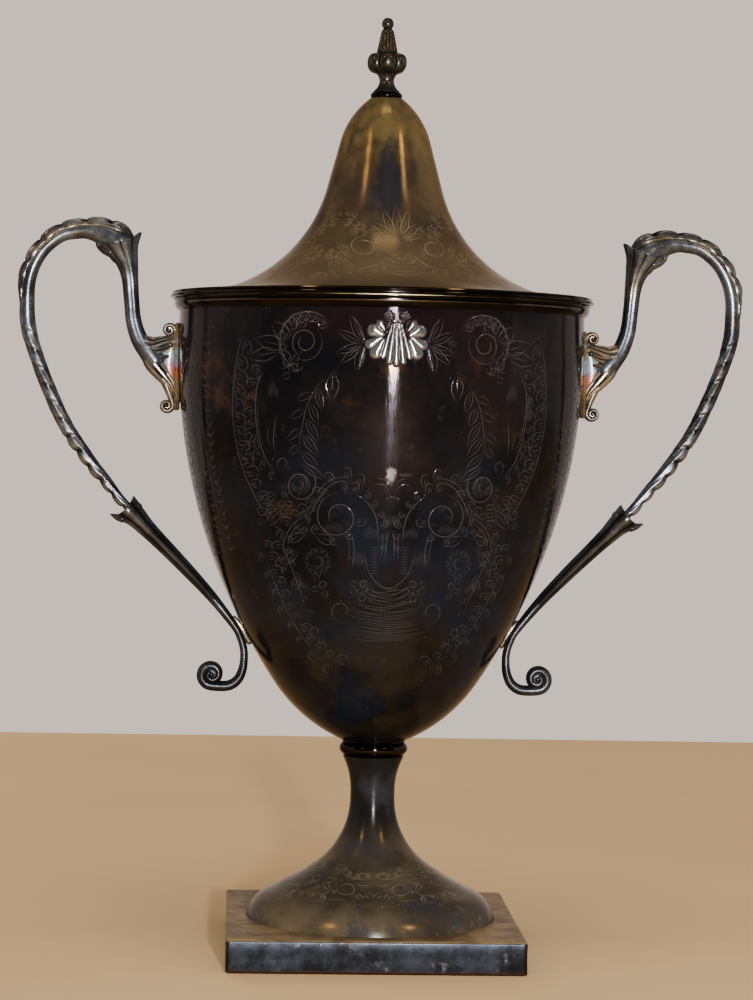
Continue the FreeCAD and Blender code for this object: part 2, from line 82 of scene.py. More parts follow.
def smooth_path(points, count):
    """Points along a Catmull-Rom curve through the given ones, evenly spaced in their first two columns."""
    samples = 24
    knots = np.array(points, float)
    padded = np.vstack([2 * knots[0] - knots[1], knots, 2 * knots[-1] - knots[-2]])
    fine = []
    for k in range(len(knots) - 1):
        p0, p1, p2, p3 = padded[k:k + 4]
        for t in np.linspace(0, 1, samples, endpoint=False):
            fine.append(0.5 * (2 * p1 + (p2 - p0) * t + (2 * p0 - 5 * p1 + 4 * p2 - p3) * t ** 2
                               + (3 * p1 - p0 - 3 * p2 + p3) * t ** 3))
    fine = np.array(fine + [knots[-1]])
    reach = distances(fine)
    even = np.linspace(0, reach[-1], count)
    return np.stack([np.interp(even, reach, column) for column in fine.T], axis=1)


def distances(path):
    """How far along a path each of its points lies."""
    return np.concatenate([[0], np.cumsum(np.linalg.norm(np.diff(path[:, :2], axis=0), axis=1))])


def make_object(name, points, faces, body, replaced=(), material=None, marks=None):
    """A smooth mesh object from points in millimetres that rides on a body and stands for some CAD nodes."""
    mesh = bpy.data.meshes.new(name)
    mesh.from_pydata((np.asarray(points, float) * MM).tolist(), [], faces)
    mesh.update()
    for label, values in (marks or {}).items():
        layer = mesh.attributes.new(label, "FLOAT", "POINT")
        layer.data.foreach_set("value", np.asarray(values, np.float32))
    mesh.polygons.foreach_set("use_smooth", [True] * len(mesh.polygons))
    thing = bpy.data.objects.new(name, mesh)
    bpy.context.scene.collection.objects.link(thing)
    if body:
        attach(thing, body)
    if replaced:
        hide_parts(*replaced)
    if material:
        mesh.materials.append(material)
    return thing


def grid_faces(rows, columns, start=0, close_rows=False, close_columns=False):
    """Quads over a grid of points whose rows follow one another, as index lists."""
    faces = []
    for i in range(rows if close_rows else rows - 1):
        here = start + i * columns
        above = start + (i + 1) % rows * columns
        for j in range(columns if close_columns else columns - 1):
            k = (j + 1) % columns
            faces.append((here + j, here + k, above + k, above + j))
    return faces


def capped_faces(rows, columns):
    """The faces of a tube of rings with both ends closed."""
    faces = grid_faces(rows, columns, close_columns=True)
    faces.append(tuple(range(columns))[::-1])
    faces.append(tuple((rows - 1) * columns + k for k in range(columns)))
    return faces


def revolve(outline, columns, lift=None):
    """Points of an outline turned round the axis, from its first point to its last."""
    angles = np.arange(columns) * FULL_TURN / columns
    rings = []
    for out, up in outline:
        reach = out + (lift(angles, out, up) if lift else 0.0)
        rings.append(np.stack([reach * np.sin(angles), -reach * np.cos(angles), np.full(columns, up)]).T)
    return np.concatenate(rings)


# ---------------------------------------------------------------- engraving on spun sheet

class Sheet:
    """The outside of a spun piece, by distance along its outline (along) and angle round the axis.

    map_up is the height on a flat map of it that keeps the shape of every small patch.
    """

    def __init__(self, outline):
        self.out, self.up = outline.T
        steps = np.hypot(np.diff(self.out), np.diff(self.up))
        middle = (self.out[1:] + self.out[:-1]) / 2
        self.along = np.concatenate([[0], np.cumsum(steps)])
        self.map_up = np.concatenate([[0], np.cumsum(steps / middle)])
        lean_out, lean_up = np.gradient(self.out, self.along), np.gradient(self.up, self.along)
        size = np.hypot(lean_out, lean_up)
        self.normal_out, self.normal_up = lean_up / size, -lean_out / size

    def read(self, column, along):
        """One of the outline's columns at some distances along it."""
        return np.interp(along, self.along, column)

    def place(self, angle, along, lift=0.0):
        """Points on the sheet, raised along its normal."""
        out = self.read(self.out, along) + self.read(self.normal_out, along) * lift
        up = self.read(self.up, along) + self.read(self.normal_up, along) * lift
        return np.stack([out * np.sin(angle), -out * np.cos(angle), up], axis=-1)

    def along_at(self, up):
        """Distance along the outline where it has this height."""
        return float(np.interp(up, self.up, self.along))


def stroke(points, width=0.34, depth=0.12, taper=0.35):
    """One cut of the graver: a line of points, its full width and depth, and how soon it swells to them."""
    line = np.array(points, float)
    if len(line) == 2:
        line = line[0] + (line[1] - line[0]) * np.linspace(0, 1, 5)[:, None]
    return {"points": line, "width": width, "depth": depth, "taper": taper}


def arc(x, y, radius, first, last, flat=1.0):
    """Points along part of a circle, angles in degrees."""
    spacing = 0.7
    count = max(6, int(abs(last - first) * radius * math.pi / 180 / spacing))
    angles = np.radians(np.linspace(first, last, count))
    return np.stack([x + radius * np.cos(angles), y + radius * flat * np.sin(angles)], axis=1)


def spiral(x, y, outer, inner, first, turns):
    """Points along a scroll that winds in from its outer radius. Negative turns go clockwise."""
    spacing = 0.75
    count = max(12, int(abs(turns) * math.pi * (outer + inner) / spacing))
    t = np.linspace(0, 1, count)
    angles = math.radians(first) + turns * FULL_TURN * t
    radii = outer + (inner - outer) * t
    return np.stack([x + radii * np.cos(angles), y + radii * np.sin(angles)], axis=1)


def polar(x, y, reach, turn):
    """The point at a distance from another, in the direction of an angle in radians."""
    return x + reach * math.cos(turn), y + reach * math.sin(turn)


def bend(points):
    """Points along a smooth curve through a few given ones."""
    spacing = 0.8
    rough = np.array(points, float)
    length = np.linalg.norm(np.diff(rough, axis=0), axis=1).sum()
    return smooth_path(rough, max(5, int(length / spacing)))


def strokes_of(rows):
    """Strokes from rows of (curve, width, depth, taper), where a curve may be just a few points to bend."""
    return [stroke(curve if isinstance(curve, np.ndarray) else bend(curve), *cut) for curve, *cut in rows]


def leaf(root, tip, breadth, rib=True, width=0.3, depth=0.1):
    """A leaf drawn by its two sides and its midrib. breadth is how far each side bulges."""
    root, tip = np.array(root, float), np.array(tip, float)
    side = np.array([-(tip - root)[1], (tip - root)[0]])
    side = side / np.linalg.norm(side) * breadth
    drawn = strokes_of([([root, root + (tip - root) * 0.45 + bulge, tip], width, depth)
                        for bulge in (side, -side)])
    if rib:
        drawn += strokes_of([([root, root + (tip - root) * 0.75], width * 0.7, depth * 0.7)])
    return drawn


def leaves(rows, **style):
    """Several leaves in one style, from rows of (root, tip, breadth)."""
    return [cut for row in rows for cut in leaf(*row, **style)]


def dots(points, width=0.42):
    """Short stabs of the graver."""
    return [stroke([(x - width / 2, y), (x + width / 2, y + 0.05)], width, 0.1, 0.5) for x, y in points]


def mirrored(strokes):
    """The strokes and their mirror images across the middle of the panel."""
    return strokes + [dict(cut, points=cut["points"] * np.array([-1.0, 1.0])) for cut in strokes]


def within(strokes, sheet, repeats):
    """The strokes without what would cross the edge of their sector."""
    margin = 0.5
    kept = []
    for cut in strokes:
        x, along = cut["points"].T
        limit = 0.97 * math.pi / repeats * sheet.read(sheet.out, along)
        inside = (np.abs(x) < limit) & (along > margin) & (along < sheet.along[-1] - margin)
        if inside.sum() >= 3:
            kept.append(dict(cut, points=cut["points"][inside]))
    return kept


class Cuts:
    """All strokes of a panel as short segments with a half width and a depth at each end.

    rails are the middle line and the two edges of every stroke, as rows of (angle, along).
    """

    # How wide a stroke starts, as a share of its width, how far away its segments still matter, and how many
    # points are measured at a time.
    BLUNT, REACH, CHUNK = 0.12, 0.6, 300

    def __init__(self, sheet, strokes):
        self.rails = []
        columns = []
        for cut in strokes:
            x, along = cut["points"].T
            radius = sheet.read(sheet.out, along)
            angle = x / radius
            t = np.linspace(0, 1, len(x))
            swell = np.minimum(1, np.minimum(t, 1 - t) / cut["taper"] + self.BLUNT)
            half = cut["width"] / 2 * swell
            swell = (swell - self.BLUNT) / (1 - self.BLUNT)
            step = np.stack([np.gradient(angle) * radius, np.gradient(along)])
            step = step / (np.linalg.norm(step, axis=0) + TINY)
            middle = np.stack([angle, along], axis=1)
            shift = np.stack([-step[1] * half / radius, step[0] * half], axis=1)
            self.rails.append(middle)
            for side in (1, -1):
                self.rails.append(np.vstack([middle[:1], (middle + side * shift)[1:-1], middle[-1:]]))
            ends = np.stack([angle, along, half, cut["depth"] * 0.5 * swell, swell], axis=1)
            columns.append(np.hstack([ends[:-1], ends[1:]]))
        self.segments = np.concatenate(columns)

    def measure(self, sheet, angle, along):
        """How deep the metal is cut at each point, and from 0 to 1 how far inside a cut it lies."""
        radius = sheet.read(sheet.out, along)
        depth, inside = np.zeros(len(along)), np.zeros(len(along))
        low_end = np.minimum(self.segments[:, 1], self.segments[:, 6])
        high_end = np.maximum(self.segments[:, 1], self.segments[:, 6])
        order = np.argsort(along)
        for chunk in np.array_split(order, max(1, len(order) // self.CHUNK)):
            near = self.segments[(high_end > along[chunk].min() - self.REACH)
                                 & (low_end < along[chunk].max() + self.REACH)]
            if not len(near):
                continue
            a0, s0, h0, d0, w0, a1, s1, h1, d1, w1 = near.T[:, None, :]
            x0 = (a0 - angle[chunk, None]) * radius[chunk, None]
            y0 = s0 - along[chunk, None]
            dx = (a1 - angle[chunk, None]) * radius[chunk, None] - x0
            dy = s1 - along[chunk, None] - y0
            t = np.clip(-(x0 * dx + y0 * dy) / (dx ** 2 + dy ** 2 + 1e-12), 0, 1)
            gap = np.hypot(x0 + t * dx, y0 + t * dy)
            share = np.clip(1 - gap / np.maximum(h0 + (h1 - h0) * t, 1e-4), 0, 1)
            depth[chunk] = (share * (d0 + (d1 - d0) * t)).max(axis=1)
            inside[chunk] = (share * (w0 + (w1 - w0) * t)).max(axis=1)
        return depth, inside


def sector_grid(sheet, half, spacing, fine):
    """Points all over one sector as (angle, along), closer together in the fine boxes."""
    total = sheet.along[-1]
    grid = []
    for level in np.linspace(0, total, max(2, round(total / spacing)) + 1):
        across = max(6, round(2 * half * sheet.read(sheet.out, level) / spacing))
        grid += [(-half + 2 * half * k / across, level) for k in range(across + 1)]
    grid = np.array(grid)
    for x0, y0, x1, y1, gap in fine:
        xs, ys = np.meshgrid(np.arange(x0, x1, gap), np.arange(y0, y1, gap))
        ys = ys.ravel()
        xs = xs.ravel() + (np.arange(len(ys)) % 2) * gap * 0.1
        grid = np.vstack([grid, np.stack([xs / sheet.read(sheet.out, ys), ys], axis=1)])
    return grid


def triangulate(sheet, cuts, grid, half):
    """A sector's points as angles and distances along, and the triangles that keep to its cuts' rails."""
    def on_map(points):
        heights = sheet.read(sheet.map_up, points[:, 1])
        return [Vector(pair) for pair in zip(points[:, 0], heights)]

    angle, along = grid.T
    on_edge = (np.abs(np.abs(angle) - half) < TINY) | (along <= 0) | (along >= sheet.along[-1])
    coords = on_map(grid[on_edge | (cuts.measure(sheet, angle, along)[1] <= 0.0)])
    edges = []
    for rail in cuts.rails:
        start = len(coords)
        coords += on_map(rail)
        edges += [(k, k + 1) for k in range(start, len(coords) - 1)]
    flat, _, triangles, _, _, _ = delaunay_2d_cdt(coords, edges, [], 0, TOUCHING)
    angle, map_up = np.array([tuple(point) for point in flat]).T
    triangles = np.array([face for face in triangles if len(face) == 3])
    return angle, np.interp(map_up, sheet.map_up, sheet.along), triangles


def level_sheet(x, along):
    """No relief."""
    return np.zeros(len(x))


def engraved(name, sheet, strokes, repeats, spacing, body, replaced, metal, inner, relief=level_sheet,
             fine=(), first_turn=0.0):
    """A spun piece with its strokes cut in, drawn on one sector and repeated round the axis.

    repeats is how many sectors there are, and spacing how far apart the plain points lie.
    inner is the outline of the inside and the edges, from the sheet's last point back to its first.
    relief(x, along) is a raised pattern in millimetres, and fine lists boxes (x, along, x, along, spacing)
    that need closer points. first_turn is the angle of the first sector's middle, in degrees.
    """
    half = math.pi / repeats
    cuts = Cuts(sheet, within(strokes, sheet, repeats))
    angle, along, triangles = triangulate(sheet, cuts, sector_grid(sheet, half, spacing, fine), half)
    depth, inside = cuts.measure(sheet, angle, along)
    x = angle * sheet.read(sheet.out, along)
    raised = relief(x, along)
    nudge, faceted_from = 0.05, 0.022
    slope_round = (relief(x + nudge, along) - relief(x - nudge, along)) / (2 * nudge)
    slope_up = (relief(x, along + nudge) - relief(x, along - nudge)) / (2 * nudge)
    middle_depth = cuts.measure(sheet, angle[triangles].mean(axis=1), along[triangles].mean(axis=1))[0]
    in_cut = middle_depth > faceted_from

    # The points on a sector's far edge are the next sector's near edge.
    low, high = (np.where(np.abs(angle - edge) < TOUCHING)[0] for edge in (-half, half))
    low, high = low[np.argsort(along[low])], high[np.argsort(along[high])]
    kept = np.setdiff1d(np.arange(len(angle)), high)
    number = np.full(len(angle), -1)
    number[kept] = np.arange(len(kept))
    out, up = sheet.read(sheet.normal_out, along), sheet.read(sheet.normal_up, along)
    points, normals, faces = [], [], []
    for turn in range(repeats):
        turned_angle = angle + FULL_TURN * turn / repeats + math.radians(first_turn)
        sine, cosine = np.sin(turned_angle), np.cos(turned_angle)
        points.append(sheet.place(turned_angle, along, raised - depth)[kept])
        round_way = np.stack([cosine, sine, np.zeros(len(angle))], axis=1)
        outward = np.stack([out * sine, -out * cosine, up], axis=1)
        upward = np.stack([-up * sine, up * cosine, out], axis=1)
        normal = outward - round_way * slope_round[:, None] - upward * slope_up[:, None]
        normals.append((normal / np.linalg.norm(normal, axis=1)[:, None])[kept])
        index = number + turn * len(kept)
        index[high] = number[low] + (turn + 1) % repeats * len(kept)
        faces.append(index[triangles])
    points, normals, faces = np.concatenate(points), np.concatenate(normals), np.concatenate(faces)

    # Inside a cut each facet is flat, and elsewhere the sheet shades smoothly.
    a, b, c = (points[faces[:, k]] for k in range(3))
    face_normals = np.cross(b - a, c - a)
    face_normals = face_normals / np.maximum(np.linalg.norm(face_normals, axis=1), 1e-12)[:, None]
    backward = (face_normals * normals[faces[:, 0]]).sum(axis=1) < 0
    faces[backward] = faces[backward][:, ::-1]
    face_normals[backward] *= -1
    faceted = np.tile(in_cut, repeats)[:, None, None]
    corner_normals = np.where(faceted, face_normals[:, None, :], normals[faces])

    columns = 160
    lining = revolve(inner, columns)
    lining_faces = grid_faces(len(inner), columns, len(points), close_columns=True)
    blank = np.zeros(len(lining))
    marks = {"cut": np.concatenate([np.tile(inside[kept], repeats), blank]),
             "raised": np.concatenate([np.tile(raised[kept], repeats), blank])}
    thing = make_object(name, np.concatenate([points, lining]), faces.tolist() + lining_faces, body, replaced,
                        METAL[metal], marks)
    mesh = thing.data
    mesh.set_sharp_from_angle(angle=math.radians(50))
    found = np.array([tuple(item.vector) for item in mesh.corner_normals])
    found[:len(faces) * 3] = corner_normals.reshape(-1, 3)
    mesh.normals_split_custom_set(found.tolist())
    return thing


# ---------------------------------------------------------------- ornaments of the graver

def daisy(x, y, radius, petals=11):
    """A flower: an eye, a ring and a round of petals."""
    turns = [FULL_TURN * k / petals for k in range(petals)]
    rows = [(polar(x, y, radius * 0.45, turn), polar(x, y, radius, turn), radius * 0.16) for turn in turns]
    rings = [(arc(x, y, radius * 0.3, 0, 360), 0.3), (arc(x, y, radius * 0.42, 20, 380), 0.22, 0.08)]
    return strokes_of(rings) + leaves(rows, rib=False, width=0.26)


def ladder(x, low, high, width, pitch):
    """Short level cuts one over another."""
    levels = [low + k * pitch for k in range(int((high - low) / pitch) + 1)]
    return strokes_of([([(x - width / 2, level), (x, level - 0.25), (x + width / 2, level)], 0.28, 0.06)
                       for level in levels])


def steps_on(line, first, last, count, side):
    """Points spread along part of a line, each with the direction ahead and the one aside."""
    for t in np.linspace(first, last, count):
        k = int(t * (len(line) - 2))
        ahead = line[k + 1] - line[k]
        ahead = ahead / np.linalg.norm(ahead)
        yield line[k], ahead, np.array([-ahead[1], ahead[0]]) * side


def ticks_along(line, first, last, count, length, side, width=0.3):
    """Curved ticks that leave one side of a line."""
    drawn = []
    for point, ahead, aside in steps_on(line, first, last, count, side):
        tip = point + aside * length * 0.55 + ahead * length
        drawn.append(stroke(bend([point, (point + tip) / 2 + aside * length * 0.12, tip]), width, 0.1))
    return drawn


def frill(line, first, last, count, size, side):
    """Curled leaves that overlap along one side of a line, each with its veins."""
    curl = 0.8
    drawn = []
    for point, ahead, aside in steps_on(line, first, last, count, side):
        reach = size * (0.8 + 0.4 * chance.random())
        rows = [([(0, 0), (0.75, 0.15), (1.0, 0.6 * curl), (0.8, curl), (0.55, 0.85 * curl)], 0.34, 0.12),
                ([(0.55, 0.85 * curl), (0.45, 0.55), (0.1, 0.5)], 0.28, 0.1)]
        for share in (0.35, 0.62):
            vein = [(0.06, 0.1 + 0.25 * share), (0.45, 0.2 + 0.3 * share),
                    (0.78, (0.3 + share * 0.55) * curl)]
            rows.append((vein, 0.2, 0.07))
        drawn += strokes_of([([point + aside * out * reach + ahead * along * reach for out, along in places],
                              *cut) for places, *cut in rows])
    return drawn


def shade(x, y, width, height, count, lean):
    """A patch of fine parallel cuts of uneven length."""
    rows = []
    for k in range(count):
        across = x - width / 2 + width * k / (count - 1)
        rise = height * (0.55 + 0.45 * math.sin(math.pi * (k + 0.5) / count)) * (0.8 + 0.2 * chance.random())
        rows.append(([(across, y), (across + lean * rise * 0.35, y + rise * 0.5),
                      (across + lean * rise, y + rise)], 0.2, 0.06))
    return strokes_of(rows)


def frills(*rows):
    """Several frills, each given as frill takes it."""
    return [cut for row in rows for cut in frill(*row)]


def shades(*rows):
    """Several patches of shading, each given as shade takes it."""
    return [cut for row in rows for cut in shade(*row)]


# ---------------------------------------------------------------- what is engraved on the bowl

def half_cartouche():
    """The right half of the cartouche on one face of the bowl, as (arc length from its middle, height)."""
    top_scroll = bend(spiral(29.6, 206.6, 10.2, 8.8, 150, -0.62))
    low_scroll = spiral(17.3, 150.6, 8.2, 2.2, 118, -1.55)
    inner_line = bend([(43.6, 199), (47.3, 193), (48, 184.5), (46.9, 176.5), (43.4, 168.4), (38.5, 164)])
    outer_line = bend([(52.5, 213), (57, 200), (58.4, 186), (57.3, 177), (54.2, 166.5), (48.4, 156.7),
                       (41, 147)])
    inner_arch = bend([(3.8, 139), (4.1, 146.3), (5.6, 152.2), (9.6, 156.9), (13.6, 158.6)])
    outer_arch = bend([(10.3, 159.6), (15.4, 162.3), (20.7, 160.4), (24.7, 155), (27, 149.9), (26.6, 144.9)])
    side_line = bend([(24.5, 153), (33, 147.5), (36.5, 140), (34, 132)])
    vine = bend([(40.4, 147), (35, 137), (30, 126), (26, 116)])
    low_line = bend([(46, 143), (41, 130), (34, 117), (25, 106), (14, 99)])
    medallion = (30, 206.7)
    rosette = (30.7, 160.8)
    drawn = strokes_of([
        (top_scroll, 0.5, 0.15, 0.2),
        (spiral(*medallion, 4.9, 1.7, -100, 1.5), 0.42, 0.14, 0.15),
        (arc(*medallion, 5.9, 120, 330), 0.28, 0.08),
        (inner_line, 0.46, 0.15, 0.15),
        ([(46, 190), (47.1, 184), (46, 176.8), (42.9, 169.9)], 0.28, 0.1),
        (outer_line, 0.46, 0.15, 0.15),
        ([(54.6, 205), (57.2, 195), (57.3, 186)], 0.26, 0.09),
        ([(39.6, 185), (40.5, 178.3), (40.7, 174.6), (39.9, 169)], 0.36),
        ([(42.4, 180), (43, 176), (41.6, 171.9)], 0.3),
        (spiral(37, 167.4, 2.6, 0.8, 250, 1.2), 0.34),
        (arc(37.6, 201, 2.9, 20, 340), 0.36),
        ([(20.3, 198), (25.1, 192.8), (28.5, 187), (30.1, 180.6), (31, 174.6), (31, 167)], 0.3, 0.1),
        (spiral(*rosette, 6.4, 2.0, 70, 1.5), 0.46, 0.14, 0.2),
        (arc(*rosette, 3.4, 10, 300), 0.28),
        (low_scroll, 0.46, 0.14, 0.2),
        (inner_arch, 0.42, 0.13),
        (outer_arch, 0.4),
        ([(12, 161.5), (16, 163.6), (21.6, 161.6), (25.6, 156.6)], 0.26, 0.09),
        (side_line, 0.36),
        ([(26.8, 150.5), (33.6, 144.5), (34.8, 138)], 0.24, 0.09),
        ([(13.2, 146.8), (11.6, 139.8), (12.4, 132.2)], 0.36),
        ([(14.6, 146), (13.1, 139.8), (13.6, 133.5)], 0.24, 0.09),
        ([(1.1, 147), (1.3, 141), (1.6, 136)], 0.36),
        ([(2.6, 147), (2.5, 141), (3.1, 135.6)], 0.3),
        (arc(0, 155.2, 2.3, 0, 180), 0.3),
        ([(0.4, 158.5), (3, 161.4), (6.8, 161.3)], 0.36),
        ([(0.3, 160.4), (2.6, 163), (5.6, 163.4)], 0.3),
    ])
    for k in range(7):
        facing = -72 + 27 * k
        turn = math.radians(facing)
        x, y = polar(*medallion, 7.6, turn)
        drawn.append(stroke(arc(x, y, 2.0 + 0.25 * (k % 2), facing - 105, facing + 105), 0.32, 0.1, 0.15))
        drawn.append(stroke([polar(x, y, -1, turn), polar(x, y, 1, turn)], 0.26, 0.08))
    drawn += leaves([((31.8, 210.6), (30.4, 216), 1.7), ((33.6, 209.6), (36.6, 215.6), 2.0),
                     ((35, 207.4), (42.5, 213.2), 2.4), ((36, 205), (49.6, 207.8), 2.4),
                     ((38.5, 203.6), (52.4, 201.4), 2.2)], width=0.36)
    for k in range(7):
        turn = math.radians(-40 + 24 * k)
        start = polar(34.6, 206.5, 1.5, turn)
        drawn.append(stroke([start, polar(*start, 2.6, turn)], 0.24, 0.08))
    drawn += leaves([((20.3, 197.4), (20.4, 187.4), 2.1), ((25.6, 192.4), (23.4, 184.4), 1.3),
                     ((28, 187.4), (24.7, 179.8), 1.3), ((29.4, 182.6), (24.2, 174), 1.3),
                     ((30.5, 177.5), (24, 169.6), 1.4), ((31, 172), (23.6, 165.2), 1.4),
                     ((31, 168), (21.6, 162.4), 1.3)], width=0.38, depth=0.13)
    drawn += leaves([((26.6, 190.4), (33.2, 187.8)), ((29, 185), (35.6, 181.8)), ((30.3, 179), (36.4, 174.6)),
                     ((31, 173.6), (35.2, 170.2))], breadth=1.1, rib=False, width=0.24, depth=0.08)
    drawn += ticks_along(outer_line, 0.1, 0.78, 10, 4.6, -1)
    drawn += ticks_along(inner_line, 0.12, 0.9, 9, 2.2, 1, 0.24)
    drawn += dots([(51.6 - 0.5 * k + 1.2 * (k % 2), 184 - 1.9 * k) for k in range(13)])
    drawn += dots([polar(16, 151, 3.4, k) for k in range(6)], 0.36)
    drawn += ladder(4.9, 132.6, 141.4, 3.1, 0.95)
    drawn += [stroke([(0.35 + 0.7 * k, 152.2), (0.25 + 0.45 * k, 147.4)], 0.3, 0.1) for k in range(5)]
    drawn += ladder(34.5, 150, 156, 3.4, 1.3)
    drawn += leaves([((17.4, 141.8), (25.6, 144.6), 1.6), ((35, 141.6), (28, 145.2), 1.4),
                     ((30.2, 139.4), (37.6, 133.6), 1.5), ((29.6, 131), (33.4, 124.6), 1.5),
                     ((36.2, 153.4), (44.6, 146), 1.9), ((38.5, 158), (47, 153.8), 1.6)])
    drawn += daisy(23.8, 135.6, 5.3)
    drawn += ticks_along(vine, 0, 0.9, 8, 3.6, -1)
    drawn.append(stroke(vine, 0.34))
    drawn += frills((outer_line, 0.08, 0.92, 13, 5.6, -1), (inner_line, 0.05, 0.95, 9, 4.2, 1),
                    (top_scroll, 0.03, 0.42, 8, 3.6, -1), (low_scroll, 0.02, 0.5, 7, 3.4, 1),
                    (outer_arch, 0.02, 0.95, 7, 3.8, 1), (side_line, 0.1, 0.95, 7, 3.8, 1),
                    (side_line, 0.15, 0.9, 5, 3.0, -1), (inner_arch, 0.05, 0.95, 7, 3.2, 1))
    drawn += shades((6.4, 143.4, 4, 6, 9, 0.12), (19.5, 145, 6, 4.6, 10, -0.3), (9.4, 134, 4.6, 7, 9, 0.2),
                    (34.4, 158.6, 5, 4.4, 8, 0.4), (41, 188, 3.6, 8, 7, 0.1), (29, 125.4, 5, 5.6, 8, 0.5))
    drawn.append(stroke(low_line, 0.36, 0.12))
    drawn += frills((low_line, 0.03, 0.95, 12, 4.4, -1), (low_line, 0.1, 0.9, 8, 3.4, 1))
    drawn.append(stroke(spiral(15, 119.4, 4.2, 1.2, 200, 1.3), 0.36))
    drawn += daisy(*rosette, 3.4, 8)
    # Small scrolls with leaves, as (x, height, radius, first angle, turns), that fill the ground.
    for x, up, reach, first, turns in (
            (50.5, 176, 2.4, 200, 1.1), (52.8, 168, 2.0, 30, -1.2), (45.5, 152, 2.6, 120, 1.2),
            (40.5, 127, 2.4, 60, -1.1), (24, 112, 2.6, 210, 1.2), (8.6, 124, 2.0, 20, 1.1),
            (33.5, 198, 2.2, 300, 1.2), (8.2, 128.6, 1.6, 200, -1.0), (37.6, 154.4, 1.8, 90, 1.2),
            (21.4, 128, 1.8, 240, 1.2)):
        drawn.append(stroke(spiral(x, up, reach, 0.6, first, turns), 0.3, 0.1, 0.15))
        for lean in (math.radians(first + 70 * k) for k in range(3)):
            drawn += leaf(polar(x, up, reach, lean), polar(x, up, reach + 3.2, lean + 0.5), 1.0, rib=False,
                          width=0.26, depth=0.08)
    # The spray that ends at the shell.
    spray = (10.6, 206.3)
    drawn += leaves([(spray, (19.9, 211), 1.3), (spray, (15.4, 216.4), 1.4), (spray, (20, 203), 1.2),
                     (spray, (13, 196.6), 1.5), (spray, (18.4, 199.4), 1.1)], width=0.36, depth=0.13)
    return drawn


def basin():
    """The basin under the middle of the cartouche: a rim, and fine level cuts below it."""
    drawn = []
    for k, level in enumerate(np.linspace(127.4, 109.5, 26)):
        reach = (9.4 + 0.24 * k) * (0.75 + 0.3 * chance.random())
        shift = (chance.random() - 0.5) * 5 if k else 0.0
        rise = 5.6 - 0.12 * k if k else 15.5
        curve = [(shift + reach * share, level + rise * high)
                 for share, high in ((-1, 1), (-0.72, 0.32), (0, 0), (0.72, 0.32), (1, 1))]
        drawn.append(stroke(bend(curve), 0.24 if k else 0.36, 0.025 if k else 0.1))
    return drawn


def feathered_columns():
    """Columns of overlapping scales under the handles."""
    drawn = []
    for side in (-1, 1):
        for column in (73.5, 81, 88.5, 96, 103.5):
            for k in range(19):
                up = 208 - 3.8 * k + 1.9 * (column % 2) + 0.6 * chance.random()
                middle = side * (column + 0.7 * math.sin(k * 0.9 + column))
                reach = 2.7 + 0.8 * chance.random()
                drawn += strokes_of([(arc(middle, up, reach, 200, 340, 1.5), 0.6, 0.45),
                                     (arc(middle, up + 0.5, reach * 0.55, 205, 335, 1.6), 0.4, 0.3)])
            spine = [(side * (column + aside), up)
                     for aside, up in ((3.7, 206), (4.2, 180), (3.4, 150), (4.0, 134))]
            drawn.append(stroke(bend(spine), 0.7, 0.4))
    return drawn


def bowl_strokes(sheet):
    """All that is engraved on one face of the bowl, by arc length and distance along the sheet."""
    drawn = mirrored(half_cartouche()) + basin() + feathered_columns()
    for cut in drawn:
        x, up = cut["points"].T
        narrowing = np.where(np.abs(x) > 70, np.interp(up, sheet.up, sheet.out) / sheet.out[-1], 1.0)
        cut["points"] = np.stack([x * narrowing, np.interp(up, sheet.up, sheet.along)], axis=1)
    return drawn


# The raised shell at the head of the cartouche: petals (root, tip, half widths, height) in its right half.
SHELL_PETALS = [
    ((0, 213.2), (0, 200.4), 0.55, 1.25, 0.75),
    ((0.75, 213), (2.3, 200.9), 0.5, 1.2, 0.7),
    ((1.5, 212.8), (4.3, 202.4), 0.5, 1.15, 0.62),
    ((4.4, 207.6), (6.7, 203.6), 1.0, 2.35, 0.75),
    ((5.2, 208.4), (8.6, 206.3), 0.9, 1.9, 0.7),
    ((4.6, 209.4), (7.4, 210.6), 1.1, 2.4, 0.85),
    ((4, 211), (5.4, 212.8), 0.9, 1.7, 0.6),
    ((2.6, 215), (2.6, 215.1), 1.95, 1.95, 0.7),
    ((11.4, 207.2), (17.4, 209.8), 0.9, 0.9, 0.2),
    ((11, 207.8), (14.4, 214.2), 0.9, 0.9, 0.22),
    ((11.5, 206), (17.6, 203.6), 0.9, 0.9, 0.2),
    ((10.9, 204.8), (12.5, 199.2), 0.9, 0.95, 0.22),
]


def shell_relief(sheet):
    """Height of the raised shell over the bowl, as a function of arc length and distance along."""
    scroll_x, scroll_y, scroll_reach, scroll_pitch = 2.6, 215.05, 1.9, 0.75

    def height(x, along):
        up = np.interp(along, sheet.along, sheet.up)
        x = np.abs(x)
        raised = np.zeros(len(x))
        for root, tip, start, end, rise in SHELL_PETALS:
            dx, dy = tip[0] - root[0], tip[1] - root[1]
            t = np.clip(((x - root[0]) * dx + (up - root[1]) * dy) / (dx * dx + dy * dy), 0, 1)
            gap = np.hypot(x - root[0] - dx * t, up - root[1] - dy * t) / (start + (end - start) * t)
            crown = np.sqrt(np.clip(1 - gap ** 2, 0, 1))
            raised = np.maximum(raised, rise * crown * (0.75 + 0.25 * t))
        reach = np.hypot(x - scroll_x, up - scroll_y)
        turn = np.arctan2(up - scroll_y, x - scroll_x) / FULL_TURN
        groove = np.abs((reach / scroll_pitch - turn) % 1.0 - 0.5) * 2
        return np.where(reach < scroll_reach, raised * (0.45 + 0.55 * groove), raised)

    return height


